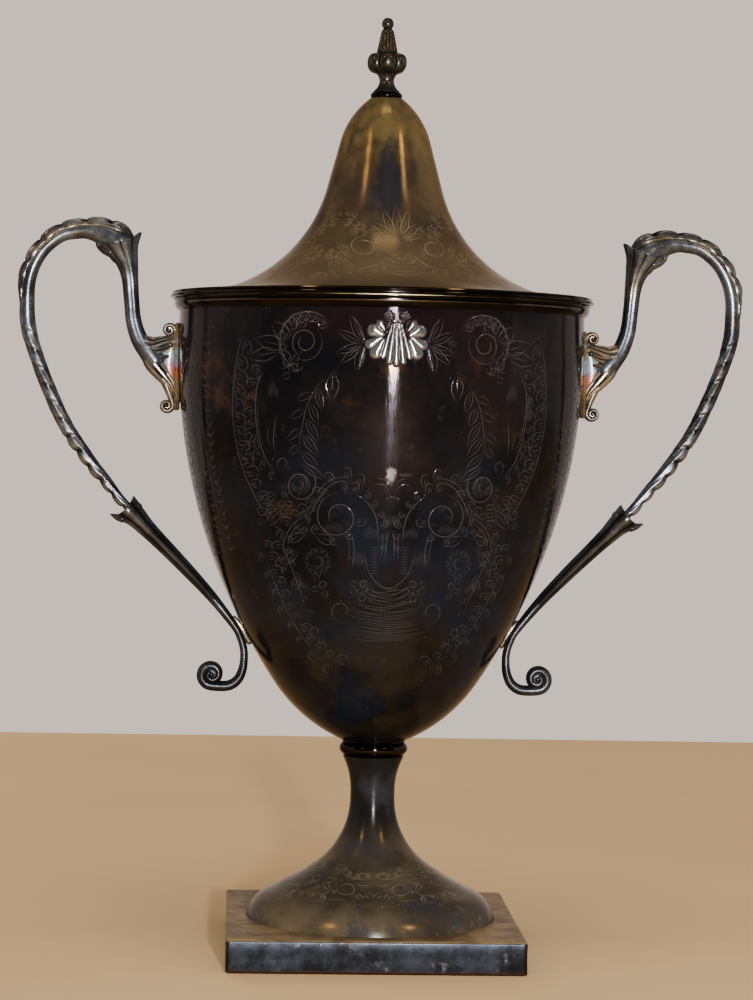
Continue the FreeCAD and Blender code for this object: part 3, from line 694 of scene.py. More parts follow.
def lid_strokes():
    """One quarter of the lid's band, as (arc length from its middle, distance up from the rim)."""
    scroll_eye = (12, 43.2)
    sweep = bend([(16.5, 40), (21, 35), (26.5, 36), (27, 41), (23.4, 43.4)])
    rise_line = bend([(3, 41.8), (7, 35), (13, 31.4), (20, 30.6)])
    top_line = bend([(7.8, 49.6), (13, 51), (16.4, 55), (15.6, 59)])
    skirt_line = bend([(22, 27.6), (28, 24.6), (36, 25.6), (43, 22.6)])
    drawn = strokes_of([
        (spiral(*scroll_eye, 5.2, 2.4, 150, -1.4), 0.4, 0.13, 0.2),
        (arc(*scroll_eye, 3.2, 0, 330), 0.3),
        (sweep, 0.36),
        (spiral(24.6, 39.6, 3.4, 1.2, 60, 1.3), 0.3),
        (rise_line, 0.36),
        (top_line, 0.32),
        (arc(3.2, 45.6, 2.7, 10, 170), 0.36),
        (arc(3.2, 45.6, 1.7, 10, 170), 0.26),
        ([(0, 31.6), (5, 33.2), (8.4, 37.4)], 0.3),
        ([(0, 34.4), (3.6, 35.8), (6, 39)], 0.26),
        (skirt_line, 0.34),
    ])
    root = (0.6, 46.8)
    drawn += leaves([(root, (4.9, 60.4), 1.3), (root, (8.6, 54.6), 1.5), (root, (9.8, 49.8), 1.2)],
                    width=0.36, depth=0.13)
    drawn += leaves([((17.5, 38.4), (22, 46.8)), ((20.4, 35.6), (16.4, 30.6)), ((24.4, 35.2), (24.6, 29)),
                     ((26.8, 38), (31.4, 33)), ((15.2, 54.6), (20.4, 53.4)), ((13, 51.4), (17, 48.4)),
                     ((30, 25), (33.6, 30)), ((36, 25.6), (38.6, 19.8))], breadth=1.3, width=0.3)
    drawn += ticks_along(sweep, 0.05, 0.9, 7, 2.6, -1, 0.26)
    drawn += frills((rise_line, 0.05, 0.95, 6, 3.2, -1), (sweep, 0.05, 0.95, 7, 3.2, 1),
                    (top_line, 0.05, 0.9, 5, 2.8, 1), (top_line, 0.2, 0.9, 4, 2.4, -1),
                    (skirt_line, 0.05, 0.9, 6, 3.4, 1), (skirt_line, 0.1, 0.9, 5, 2.8, -1))
    drawn += shades((19, 41.6, 4, 3.6, 8, 0.3), (6, 27.4, 4, 3, 7, -0.2))
    drawn += dots([(8.4 + 1.9 * k, 29 + 0.5 * math.sin(k)) for k in range(9)], 0.4)
    drawn += ladder(7.6, 39.4, 43.2, 2.2, 0.9)
    drawn = mirrored(drawn)
    drawn += leaf((0, 46.8), (0, 61.8), 1.5, width=0.36, depth=0.13)
    return drawn + strokes_of([([(-reach, level + 2), (0, level), (reach, level + 2)], 0.28)
                               for reach, level in ((5.6, 37), (6.6, 29), (8, 26.6))])


def foot_strokes():
    """One quarter of the foot's band, as (arc length from its middle, distance up from the plinth)."""
    upper_line = bend([(0, 27.4), (5, 26.9), (9.6, 28.4), (12, 31.6)])
    lower_line = bend([(13.6, 21.6), (18, 17.6), (23, 18.6), (25, 22.4)])
    drawn = strokes_of([
        (spiral(9.2, 21.8, 4.4, 1.4, 100, -1.5), 0.36),
        ([(0, 24), (4, 23.6), (6.6, 25.2)], 0.3),
        (upper_line, 0.32),
        ([(0, 30), (3.4, 29.6), (5.4, 31.4)], 0.26),
        (lower_line, 0.32),
        ([(12.6, 25.6), (17, 23.4), (21.4, 24.4)], 0.26),
    ])
    drawn += leaves([((15, 19.8), (18.6, 25)), ((18.6, 17.8), (17, 13.4)), ((22, 18.2), (24.6, 14.2)),
                     ((10.8, 29.6), (15.6, 29.4)), ((6, 20), (3.4, 15.4)), ((2.6, 20.6), (0, 16.4))],
                    breadth=1.0, rib=False, width=0.28)
    drawn += dots([(3 + 1.8 * k, 12.6 + 0.4 * (k % 2)) for k in range(11)], 0.34)
    drawn += frills((upper_line, 0.1, 0.9, 4, 2.6, 1), (lower_line, 0.1, 0.9, 4, 2.6, -1))
    drawn += shades((4.6, 16.8, 5, 2.8, 8, 0.2), (14.6, 25.2, 4, 2.6, 7, -0.2), (20.4, 25.6, 4, 3, 7, 0.3),
                    (12.4, 14.4, 6, 2.6, 9, 0.1), (20.4, 12.6, 5, 2.4, 8, -0.2))
    return mirrored(drawn)


# ---------------------------------------------------------------- materials

class Shader:
    """A material put together from nodes, which reads the object's own coordinates in metres."""

    def __init__(self, name):
        self.material = bpy.data.materials.new(name)
        self.material.use_nodes = True
        self.tree = self.material.node_tree
        self.surface = self.tree.nodes["Principled BSDF"]
        self.place = self.node("ShaderNodeTexCoord").outputs["Object"]
        self.colour = None

    def node(self, kind, **values):
        """A node with some of its settings and inputs given; a socket as a value is linked."""
        made = self.tree.nodes.new(kind)
        for key, value in values.items():
            if hasattr(made, key):
                setattr(made, key, value)
            else:
                self.feed(made.inputs[key.replace("_", " ")], value)
        return made

    def feed(self, socket, value):
        """Set an input, or link a socket to it."""
        if isinstance(value, bpy.types.NodeSocket):
            self.tree.links.new(value, socket)
        else:
            socket.default_value = value

    def noise(self, scale, detail=4.0, rough=0.55, twist=0.0, stretch=(1, 1, 1)):
        """Cloudy noise, from 0 to 1. The scale is in features per metre, and twist picks another part."""
        mapped = self.node("ShaderNodeMapping", Vector=self.place, Scale=stretch,
                           Location=(twist, twist * 0.7, twist * 1.3))
        return self.node("ShaderNodeTexNoise", Vector=mapped.outputs["Vector"], Scale=scale, Detail=detail,
                         Roughness=rough).outputs["Fac"]

    def band(self, value, low, high, low_out=0.0, high_out=1.0):
        """The value stretched smoothly from one range to another."""
        return self.node("ShaderNodeMapRange", interpolation_type="SMOOTHSTEP", Value=value, From_Min=low,
                         From_Max=high, To_Min=low_out, To_Max=high_out).outputs["Result"]

    def patches(self, noise, low, high, low_out=0.0, high_out=1.0):
        """Soft-edged patches cut from noise, which is given as its scale, detail, roughness and twist."""
        return self.band(self.noise(*noise), low, high, low_out, high_out)

    def by_height(self, low, high, low_out=0.0, high_out=1.0):
        """A change from one height above the table to another, in metres."""
        height = self.node("ShaderNodeSeparateXYZ", Vector=self.place).outputs["Z"]
        return self.band(height, low, high, low_out, high_out)

    def math(self, operation, first, second):
        """A math node's result."""
        made = self.node("ShaderNodeMath", operation=operation)
        for socket, value in zip(made.inputs, (first, second)):
            self.feed(socket, value)
        return made.outputs["Value"]

    def times(self, first, second):
        """One value times another."""
        return self.math("MULTIPLY", first, second)

    def plus(self, first, second):
        """The sum of two values."""
        return self.math("ADD", first, second)

    def less(self, first, second):
        """One value less another."""
        return self.math("SUBTRACT", first, second)

    def most(self, first, second):
        """The larger of two values."""
        return self.math("MAXIMUM", first, second)

    def mix(self, share, first, second):
        """Two colours mixed by a share from 0 to 1."""
        made = self.node("ShaderNodeMix", data_type="RGBA")
        self.feed(made.inputs["Factor"], share)
        for key, colour in (("A", first), ("B", second)):
            self.feed(made.inputs[key], colour if isinstance(colour, bpy.types.NodeSocket) else (*colour, 1))
        return made.outputs["Result"]

    def start(self, share, first, second):
        """Begin the material's colour as a mix of two."""
        self.colour = self.mix(share, first, second)

    def lay(self, colour, share, amount=None):
        """Lay a colour over the material's colour, by a share that may be weakened by an amount."""
        self.colour = self.mix(share if amount is None else self.times(share, amount), self.colour, colour)

    def mark(self, name):
        """A number stored on the mesh's points."""
        return self.node("ShaderNodeAttribute", attribute_name=name).outputs["Fac"]

    def brushed(self):
        """Fine upright streaks of noise, left by polishing."""
        return self.noise(420, 3, 0.6, 2.0, (1, 1, 0.12))

    def bump(self, value, distance, strength):
        """Fine relief from a value, its distance in metres."""
        made = self.node("ShaderNodeBump", Distance=distance, Strength=strength, Height=value)
        self.feed(self.surface.inputs["Normal"], made.outputs["Normal"])

    def gloss(self, level, tint=(1, 1, 1)):
        """The strength and colour of what the surface reflects at a slant."""
        self.surface.inputs["Specular IOR Level"].default_value = level
        self.surface.inputs["Specular Tint"].default_value = (*tint, 1)

    def finish(self, rough, anisotropy=0.0, metallic=1.0):
        """Set the colour and the gloss. With anisotropy the highlights are drawn out as on spun metal."""
        self.feed(self.surface.inputs["Base Color"], self.colour)
        self.feed(self.surface.inputs["Roughness"], rough)
        self.feed(self.surface.inputs["Metallic"], metallic)
        self.surface.inputs["Anisotropic"].default_value = anisotropy
        if anisotropy:
            tangent = self.node("ShaderNodeTangent", direction_type="RADIAL", axis="Z")
            self.feed(self.surface.inputs["Tangent"], tangent.outputs["Tangent"])
            self.surface.inputs["Anisotropic Rotation"].default_value = 0.25
        return self.material

    def stain(self, x, z, wide, high, ragged, twist):
        """A ragged oval on the front of the cup, 1 in its middle. Places and sizes are in millimetres."""
        split = self.node("ShaderNodeSeparateXYZ", Vector=self.place)
        across = self.math("DIVIDE", self.less(split.outputs["X"], x * MM), wide * MM)
        upward = self.math("DIVIDE", self.less(split.outputs["Z"], z * MM), high * MM)
        reach = self.plus(self.times(across, across), self.times(upward, upward))
        rough_edge = self.times(self.less(self.noise(420, 4, 0.65, twist), 0.5), 4.0 * ragged)
        inside = self.band(self.plus(reach, rough_edge), 0.1, 1.3, 1.0, 0.0)
        return self.times(inside, self.band(split.outputs["Y"], 0.0, -0.002))

    def specks(self, scale, size, twist):
        """Small round spots, 1 in a spot and 0 elsewhere."""
        moved_place = self.node("ShaderNodeVectorMath", operation="ADD")
        self.feed(moved_place.inputs[0], self.place)
        moved_place.inputs[1].default_value = (twist, twist, twist)
        cells = self.node("ShaderNodeTexVoronoi", Vector=moved_place.outputs["Vector"], Scale=scale)
        return self.band(cells.outputs["Distance"], size * 0.6, size, 1.0, 0.0)


def bowl_metal():
    """Near-black tarnish with purple-brown clouds, blue-grey low down and olive toning at the sides, and a
    magenta reflection painted under the rim at the front.
    """
    look = Shader("bowl_plate")
    fine = look.noise(190, 6, 0.65, 3.0)
    look.start(look.patches((26, 5, 0.6), 0.42, 0.66), (0.0052, 0.0054, 0.0068), (0.0145, 0.0105, 0.0105))
    rust = look.patches((48, 5, 0.65, 12.0), 0.56, 0.7)
    look.lay((0.034, 0.017, 0.01), rust, look.by_height(0.14, 0.165))
    blue = look.patches((34, 4, 0.6, 5.0), 0.42, 0.62)
    look.lay((0.0085, 0.012, 0.02), blue, look.by_height(0.2, 0.13))
    olive = look.patches((30, 4, 0.6, 9.0), 0.42, 0.6)
    look.lay((0.026, 0.02, 0.0095), look.by_height(0.14, 0.085, 0.0, 0.85), olive)
    look.lay((0.05, 0.043, 0.041), look.band(fine, 0.58, 0.78, 0.0, 0.4))
    # A magenta glow painted under the rim at the front of the bowl: a painted reflection.
    look.lay((0.016, 0.0065, 0.0095), look.stain(-2.0, 213.0, 34.0, 6.5, 0.2, 6.0), 0.5)
    spots = look.specks(210, 0.045, 1.0)
    look.lay((0.2, 0.185, 0.17), spots, 0.4)
    crust = look.most(look.stain(0.5, 164.0, 1.9, 3.3, 1.1, 2.0),
                      look.times(look.stain(46.0, 187.0, 1.4, 4.6, 0.8, 4.0), 0.2))
    crust = look.most(crust, look.times(look.stain(5.6, 164.6, 2.6, 0.6, 0.5, 8.0), 0.3))
    crust = look.times(crust, 0.4)
    look.lay((0.15, 0.135, 0.12), crust)
    look.lay((0.075, 0.07, 0.072), look.mark("cut"), 0.75)
    high = look.band(look.mark("raised"), 0.3, 0.8)
    look.lay((0.2, 0.195, 0.195), high)
    rough = look.plus(look.patches((60, 5, 0.6, 7.0), 0.3, 0.7, 0.105, 0.16),
                      look.times(look.most(spots, crust), 0.3))
    waves = look.times(look.noise(120, 3, 0.6, 11.0, (1, 1, 0.3)), 2.2)
    look.bump(look.plus(look.plus(look.brushed(), waves), look.times(fine, 0.6)), 0.00006, 0.6)
    dull = look.most(look.times(look.mark("cut"), 0.75), 0.55)
    dull = look.less(look.most(dull, look.times(crust, 0.9)), look.times(high, 0.35))
    look.gloss(0.12, (0.42, 0.41, 0.42))
    return look.finish(rough, 0.95, look.less(1.0, dull))


def lid_metal():
    """Golden brown tarnish over olive pewter, darker round the middle of the bell, with a dark reflection
    painted on the front of the bell.
    """
    look = Shader("lid_plate")
    fine = look.noise(240, 6, 0.65, 3.0)
    look.start(look.patches((30, 5, 0.6, 1.0), 0.4, 0.65), (0.045, 0.033, 0.021), (0.1, 0.072, 0.037))
    look.lay((0.14, 0.1, 0.036), look.by_height(0.262, 0.284), look.band(fine, 0.35, 0.6))
    look.lay((0.15, 0.112, 0.064), look.by_height(0.246, 0.228), 0.6)
    waist = look.times(look.by_height(0.238, 0.25), look.by_height(0.282, 0.266))
    look.lay((0.034, 0.029, 0.028), look.patches((38, 4, 0.65, 6.0), 0.48, 0.64), waist)
    # A dark patch painted on the front of the bell: a painted reflection of the dark room.
    look.lay((0.022, 0.021, 0.024), look.stain(0.6, 262.0, 5.6, 15.0, 0.5, 1.0))
    look.lay((0.03, 0.024, 0.02), look.specks(260, 0.05, 2.0), 0.7)
    look.lay((0.2, 0.15, 0.08), look.mark("cut"), 0.7)
    look.bump(look.plus(look.brushed(), look.times(fine, 0.6)), 0.00004, 0.5)
    look.gloss(0.08, (0.42, 0.35, 0.25))
    return look.finish(look.patches((80, 5, 0.6, 7.0), 0.3, 0.7, 0.16, 0.27), 0.7,
                       look.less(0.6, look.times(look.mark("cut"), 0.25)))


def foot_metal():
    """Olive black tarnish, darker up the stem."""
    look = Shader("foot_plate")
    fine = look.noise(260, 6, 0.65, 2.0)
    look.start(look.patches((40, 5, 0.6, 4.0), 0.4, 0.65), (0.042, 0.034, 0.024), (0.1, 0.077, 0.045))
    look.lay((0.0105, 0.0105, 0.011), look.by_height(0.03, 0.048), 0.95)
    look.lay((0.03, 0.034, 0.042), look.patches((50, 4, 0.6, 5.0), 0.5, 0.66), 0.7)
    look.lay((0.15, 0.12, 0.075), look.times(look.band(fine, 0.56, 0.7), look.by_height(0.04, 0.03)), 0.4)
    look.lay((0.2, 0.17, 0.115), look.mark("cut"), 0.8)
    look.bump(look.plus(look.brushed(), fine), 0.00003, 0.5)
    look.gloss(0.12, (0.4, 0.35, 0.3))
    return look.finish(look.patches((80, 5, 0.6, 7.0), 0.3, 0.7, 0.16, 0.28), 0.6,
                       look.less(0.45, look.times(look.mark("cut"), 0.2)))


def plinth_metal():
    """Brown-gold tarnish above, slate grey with pale water stains on the sides."""
    look = Shader("plinth_plate")
    fine = look.noise(300, 7, 0.7, 2.0)
    clouds = look.patches((70, 5, 0.65, 4.0), 0.38, 0.62)
    look.start(clouds, (0.1, 0.068, 0.034), (0.24, 0.165, 0.075))
    look.lay((0.15, 0.135, 0.07), look.patches((45, 4, 0.6, 8.0), 0.5, 0.66))
    top = look.colour
    look.start(clouds, (0.008, 0.0085, 0.0105), (0.024, 0.028, 0.037))
    bloom = look.patches((95, 6, 0.75, 6.0), 0.55, 0.7)
    look.lay((0.12, 0.11, 0.12), bloom, look.band(fine, 0.35, 0.6))
    look.lay((0.14, 0.06, 0.03), look.specks(34, 0.11, 0.013))
    look.lay((0.3, 0.29, 0.28), look.specks(330, 0.07, 4.0), 0.8)
    look.lay((0.04, 0.02, 0.012), look.by_height(0.0016, 0.0004))
    facing = look.node("ShaderNodeSeparateXYZ", Vector=look.node("ShaderNodeNewGeometry").outputs["Normal"])
    flat = look.band(facing.outputs["Z"], 0.3, 0.8)
    look.lay(top, flat)
    look.lay((0.03, 0.022, 0.015), look.specks(240, 0.06, 7.0), 0.5)
    rough = look.plus(look.band(fine, 0.3, 0.7, 0.2, 0.34), look.times(bloom, 0.12))
    look.bump(fine, 0.00005, 0.4)
    look.gloss(0.15, (0.5, 0.44, 0.37))
    return look.finish(look.plus(rough, look.times(flat, 0.16)), 0.0, look.less(0.65, look.times(flat, 0.25)))


def rim_metal():
    """Dark polished moulding, lighter along its crests: partly wear on the edges, partly painted highlight
    lines.
    """
    look = Shader("rim_plate")
    look.start(look.patches((60, 5, 0.6, 1.5), 0.4, 0.66), (0.012, 0.011, 0.0105), (0.026, 0.022, 0.02))
    # The crests painted lighter: partly wear, partly painted highlight lines.
    look.lay((0.16, 0.145, 0.13), look.band(look.mark("worn"), 0.6, 1.0),
             look.patches((90, 4), 0.3, 0.55, 0.3, 0.85))
    look.gloss(0.5, (0.6, 0.58, 0.58))
    look.bump(look.noise(700, 3, 0.6, 0.0, (1, 1, 0.2)), 0.00002, 0.5)
    return look.finish(look.patches((120, 5), 0.3, 0.7, 0.07, 0.15), 0.5)


# The colours that heat leaves beside a brazed joint, from its cool end to its hot end.
HEAT_COLOURS = ((0.0, (0.08, 0.055, 0.028)), (0.25, (0.24, 0.145, 0.04)), (0.45, (0.42, 0.1, 0.035)),
                (0.58, (0.3, 0.14, 0.2)), (0.75, (0.26, 0.4, 0.44)), (1.0, (0.2, 0.115, 0.035)))


def cast_metal():
    """Gunmetal gloss on the castings; lighter bronze on the relief crests and gold on the leaves, each partly
    wear and partly painted highlight; black in the hollows.
    """
    look = Shader("cast_plate")
    look.start(look.patches((75, 5, 0.6, 2.5), 0.4, 0.64), (0.05, 0.055, 0.065), (0.16, 0.18, 0.205))
    look.lay((0.1, 0.076, 0.045), look.patches((52, 4, 0.6, 7.5), 0.54, 0.7), 0.7)
    # Lighter colour on the relief crests: partly wear, partly painted highlight.
    crests = look.band(look.mark("worn"), 0.35, 1.0, 0.0, 0.5)
    look.lay((0.24, 0.215, 0.17), crests)
    # Gold on the leaves and along the inner side of the crest: partly brass showing, partly painted
    # highlight.
    gilt = look.times(look.mark("gilt"), look.patches((110, 4, 0.55, 3.0), 0.35, 0.6, 0.35, 1))
    look.lay((0.24, 0.18, 0.095), gilt)
    look.lay((0.012, 0.01, 0.009), look.mark("hollow"))
    top = look.by_height(0.288, 0.291)
    look.lay((0.042, 0.035, 0.02), top, 0.72)
    look.lay((0.022, 0.023, 0.026), look.by_height(0.15, 0.115), 0.7)
    scorch = look.mark("scorch")
    toning = look.node("ShaderNodeValToRGB")
    for at, _ in HEAT_COLOURS[1:-1]:
        toning.color_ramp.elements.new(at)
    for element, (_, colour) in zip(toning.color_ramp.elements, HEAT_COLOURS):
        element.color = (*colour, 1)
    look.feed(toning.inputs["Fac"], look.plus(look.mark("tone"),
                                              look.patches((420, 4, 0.55, 4.0), 0.3, 0.7, -0.12, 0.12)))
    look.lay(toning.outputs["Color"], scorch, look.patches((300, 4, 0.55, 9.0), 0.3, 0.55, 0.55, 1.0))
    fine = look.noise(500, 5, 0.65, 1.0)
    look.bump(fine, 0.00005, 0.5)
    look.gloss(0.2, (0.33, 0.32, 0.33))
    dull = look.most(look.most(look.times(scorch, 0.75), look.times(gilt, 0.5)), look.times(crests, 0.4))
    dull = look.math("MINIMUM", look.most(dull, 0.15), 0.8)
    return look.finish(look.less(look.band(fine, 0.3, 0.7, 0.23, 0.36), look.times(top, 0.06)), 0.0,
                       look.less(1.0, dull))


def inner_metal():
    """Dull brass of what is out of sight, and the gilt-like inside of the lid."""
    look = Shader("inner_metal")
    look.start(look.patches((90, 5, 0.6, 2.5), 0.35, 0.65), (0.3, 0.22, 0.11), (0.42, 0.33, 0.18))
    look.bump(look.noise(400, 4), 0.00004, 0.4)
    return look.finish(look.patches((200, 5), 0.3, 0.7, 0.28, 0.45))


def solder_metal():
    """Golden and orange heat toning over bare solder, dark where the tarnish reaches it."""
    look = Shader("solder_metal")
    look.start(look.patches((240, 4), 0.45, 0.65), (0.2, 0.185, 0.16), (0.26, 0.17, 0.07))
    look.lay((0.04, 0.034, 0.03), look.patches((160, 5, 0.55, 6.0), 0.42, 0.58))
    look.bump(look.noise(600, 4), 0.00006, 0.5)
    return look.finish(look.patches((300, 4, 0.55, 2.0), 0.3, 0.7, 0.18, 0.35), metallic=0.85)


def floor_paint():
    """Plain pale paint."""
    look = Shader("floor_paint")
    look.start(look.patches((6, 3), 0.3, 0.7), (0.55, 0.364, 0.17), (0.584, 0.393, 0.189))
    look.gloss(0.15)
    return look.finish(0.75, metallic=0.0)


def dark_cloth():
    """Dull black cloth."""
    look = Shader("dark_cloth")
    look.start(look.noise(40), (0.02, 0.018, 0.02), (0.03, 0.026, 0.026))
    return look.finish(0.9, metallic=0.0)


# ---------------------------------------------------------------- spun pieces

METAL = {
    "bowl": bowl_metal(),
    "lid": lid_metal(),
    "foot": foot_metal(),
    "plinth": plinth_metal(),
    "rim": rim_metal(),
    "cast": cast_metal(),
    "inner": inner_metal(),
    "solder": solder_metal(),
}

BOWL_OUTSIDE = [(11, 71.9, 55.6, 1), (35.1, 92.07, 203, 1), (69.5, 205), (69.5, 222)]
BOWL_INSIDE = [(69.5, 222), (69.4, 222.05), (68.5, 222.05), (68.3, 221.8), (68.3, 205, 201.8, -1),
               (34.1, 92.9, 54.4, -1), (10.2, 73.1), (0.5, 73.1)]
LID_OUTSIDE = [(71, 224.4), (67.7, 224.4, 49.5, -1), (19.88, 261.14), (15.47, 277.65, 27.5, 1), (5.6, 292.3)]
LID_INSIDE = [(5.6, 292.3), (1.7, 292.3), (1.7, 291.3), (5.2, 291.3, 26.5, -1), (14.5, 277.4),
              (18.9, 260.9, 50.5, 1), (67.7, 223.4), (71, 223.4)]
FOOT_OUTSIDE = [(42.9, 11, 12.2, 1), (36, 19.6, 98, -1), (20.1, 28.6, 28.5, -1), (7.65, 52),
                (7.65, 54.5, 25, -1), (10.7, 66.5)]
FOOT_INSIDE = [(10.7, 66.5), (3.3, 66.5), (3.3, 65.3), (9.4, 65.3, 26, 1), (6.45, 54.5), (6.45, 52, 29.7, 1),
               (19.4, 27.5, 99, 1), (35.3, 18.6, 11, -1), (41.7, 11), (42.9, 11)]

bowl_sheet, lid_sheet, foot_sheet = (Sheet(trace(outside, 0.8))
                                     for outside in (BOWL_OUTSIDE, LID_OUTSIDE, FOOT_OUTSIDE))
shell_box = (-20, bowl_sheet.along_at(197), 20, bowl_sheet.along_at(217.6), 0.32)
engraved("bowl_shell_engraved", bowl_sheet, bowl_strokes(bowl_sheet), repeats=2, spacing=2.6, body="cup",
         replaced=["bowl_shell"], metal="bowl", inner=trace(BOWL_INSIDE, 3.0),
         relief=shell_relief(bowl_sheet), fine=[shell_box], first_turn=1.0)
engraved("lid_shell_engraved", lid_sheet, lid_strokes(), repeats=4, spacing=2.0, body="lid",
         replaced=["lid_shell"], metal="lid", inner=trace(LID_INSIDE, 2.0), first_turn=7.0)
engraved("foot_engraved", foot_sheet, foot_strokes(), repeats=4, spacing=1.3, body="cup",
         replaced=["foot"], metal="foot", inner=trace(FOOT_INSIDE, 2.0), first_turn=-1.0)


def shaped(name, points, faces, body, replaced, metal, sharp, marks=None):
    """A piece in one metal and slot, creased where its faces meet at more than an angle in degrees."""
    thing = make_object(name, points, faces, body, replaced, METAL[metal], marks)
    thing.data.set_sharp_from_angle(angle=math.radians(sharp))
    return thing


def worn_crests(outline, crests):
    """From 0 to 1 how near each outline point is to one of the crests, which are painted lighter for wear and
    for highlight lines.
    """
    spread = 0.7
    near = np.zeros(len(outline))
    for out, up in crests:
        gap = np.hypot(outline[:, 0] - out, outline[:, 1] - up)
        near = np.maximum(near, np.clip(1 - gap / spread, 0, 1))
    return near


def ring_piece(name, corners, body, replaced, crests, columns=240, step=0.25):
    """A turned moulding from a closed outline, with its crests marked for wear and painted highlight lines.
    """
    outline = trace(corners + corners[:1], step)[:-1]
    faces = grid_faces(len(outline), columns, close_rows=True, close_columns=True)
    shaped(name, revolve(outline, columns), faces, body, replaced, "rim", 38,
           {"worn": np.repeat(worn_crests(outline, crests), columns)})


# The last list of each moulding gives its crests, painted lighter for wear and for highlight lines.
ring_piece("rim_moulding_turned", [
    (69.5, 218.2), (69.9, 218.2, 3.4, 1), (71.2, 220.9), (71.0, 221.1), (71.1, 221.3, 0.55, 1), (71.5, 222.1),
    (70.2, 222.15), (69.5, 222.15)], "cup", ["rim_moulding"], [(71.8, 221.6), (71.2, 220.4)])
ring_piece("lid_edge_turned", [
    (71, 222.35), (72.1, 222.35, 0.75, 1), (72.3, 223.75), (71.9, 223.9), (71.95, 224.05, 0.4, 1),
    (71.75, 224.7), (71, 224.7)], "lid", ["lid_edge_wire"], [(72.5, 223.2), (72.2, 224.4)])
ring_piece("knop_turned", [
    (3.3, 66.5), (10.1, 66.5), (10.2, 66.9), (10.6, 67.1, 2.35, 1), (10.9, 71.0), (10.5, 71.2), (10.9, 71.5),
    (10.8, 71.9), (3.3, 71.9)], "cup", ["collar_ring"], [(11.6, 69)], 96)
ring_piece("finial_collar_turned", [
    (1.7, 292.1), (4.6, 292.1), (4.9, 292.2, 1.2, 1), (4.8, 294.3), (4.5, 294.55), (1.7, 294.55)],
    "lid", ["finial_collar"], [(4.8, 294.4)], 72, 0.15)


def plinth():
    """The square plinth: a plate with rolled edges and a strip below it, hollow and a little bowed."""
    half, height, wall, corner, thickness = 49.75, 11.0, 1.2, 1.0, 1.2
    hole_radius = 36.0
    # How far the outside stands back from its largest size, by height.
    levels = [(0.0, 0.35), (0.3, 0.05), (0.9, 0.0), (4, 0.08), (7, 0.08), (10.2, 0.0), (10.7, 0.12),
              (10.95, 0.5), (height, 0.9)]
    corner_share = 0.9999
    shares = [-1, -0.994, *np.linspace(-0.975, 0.975, 31), 0.994, corner_share]
    ring = []
    for turn in (math.pi / 2 * side for side in range(4)):
        direction = np.array([math.cos(turn), math.sin(turn)])
        across = np.array([-direction[1], direction[0]])
        ring += [(direction, across, t) for t in shares]

    def loop(inset, up, sag=0.0):
        points = []
        for direction, across, t in ring:
            reach = half - inset
            wave = 0.0
            if abs(t) < corner_share:
                wave = 0.07 * math.sin(2.2 * t + direction[0] * 2 + direction[1]) * (1 if inset < 1 else 0.3)
            flat = direction * (reach - wave) + across * (t * (reach - corner))
            points.append((*flat, up - sag * (1 - t * t)))
        return np.array(points)

    hole = []
    for direction, across, t in ring:
        angle = math.atan2(*(direction + across * t)[::-1])
        hole.append((*polar(0, 0, hole_radius, angle), height))
    hole = np.array(hole)
    bottom = loop(wall, 0.0)
    top = [loop(inset, height, 0.06) for inset in (2.5, 5)]
    under = [(x, y, height - thickness) for x, y, _ in (*hole, *bottom)]
    rows = [bottom] + [loop(inset, up) for up, inset in levels] + top
    rows += [top[-1] * 0.45 + hole * 0.55, hole, np.array(under[:len(ring)]), np.array(under[len(ring):])]
    faces = grid_faces(len(rows), len(ring), close_rows=True, close_columns=True)
    shaped("plinth_plate_and_strip", np.concatenate(rows), faces, "cup", ["plinth_band", "plinth_top"],
           "plinth", 48)


plinth()


# ---------------------------------------------------------------- cast pieces

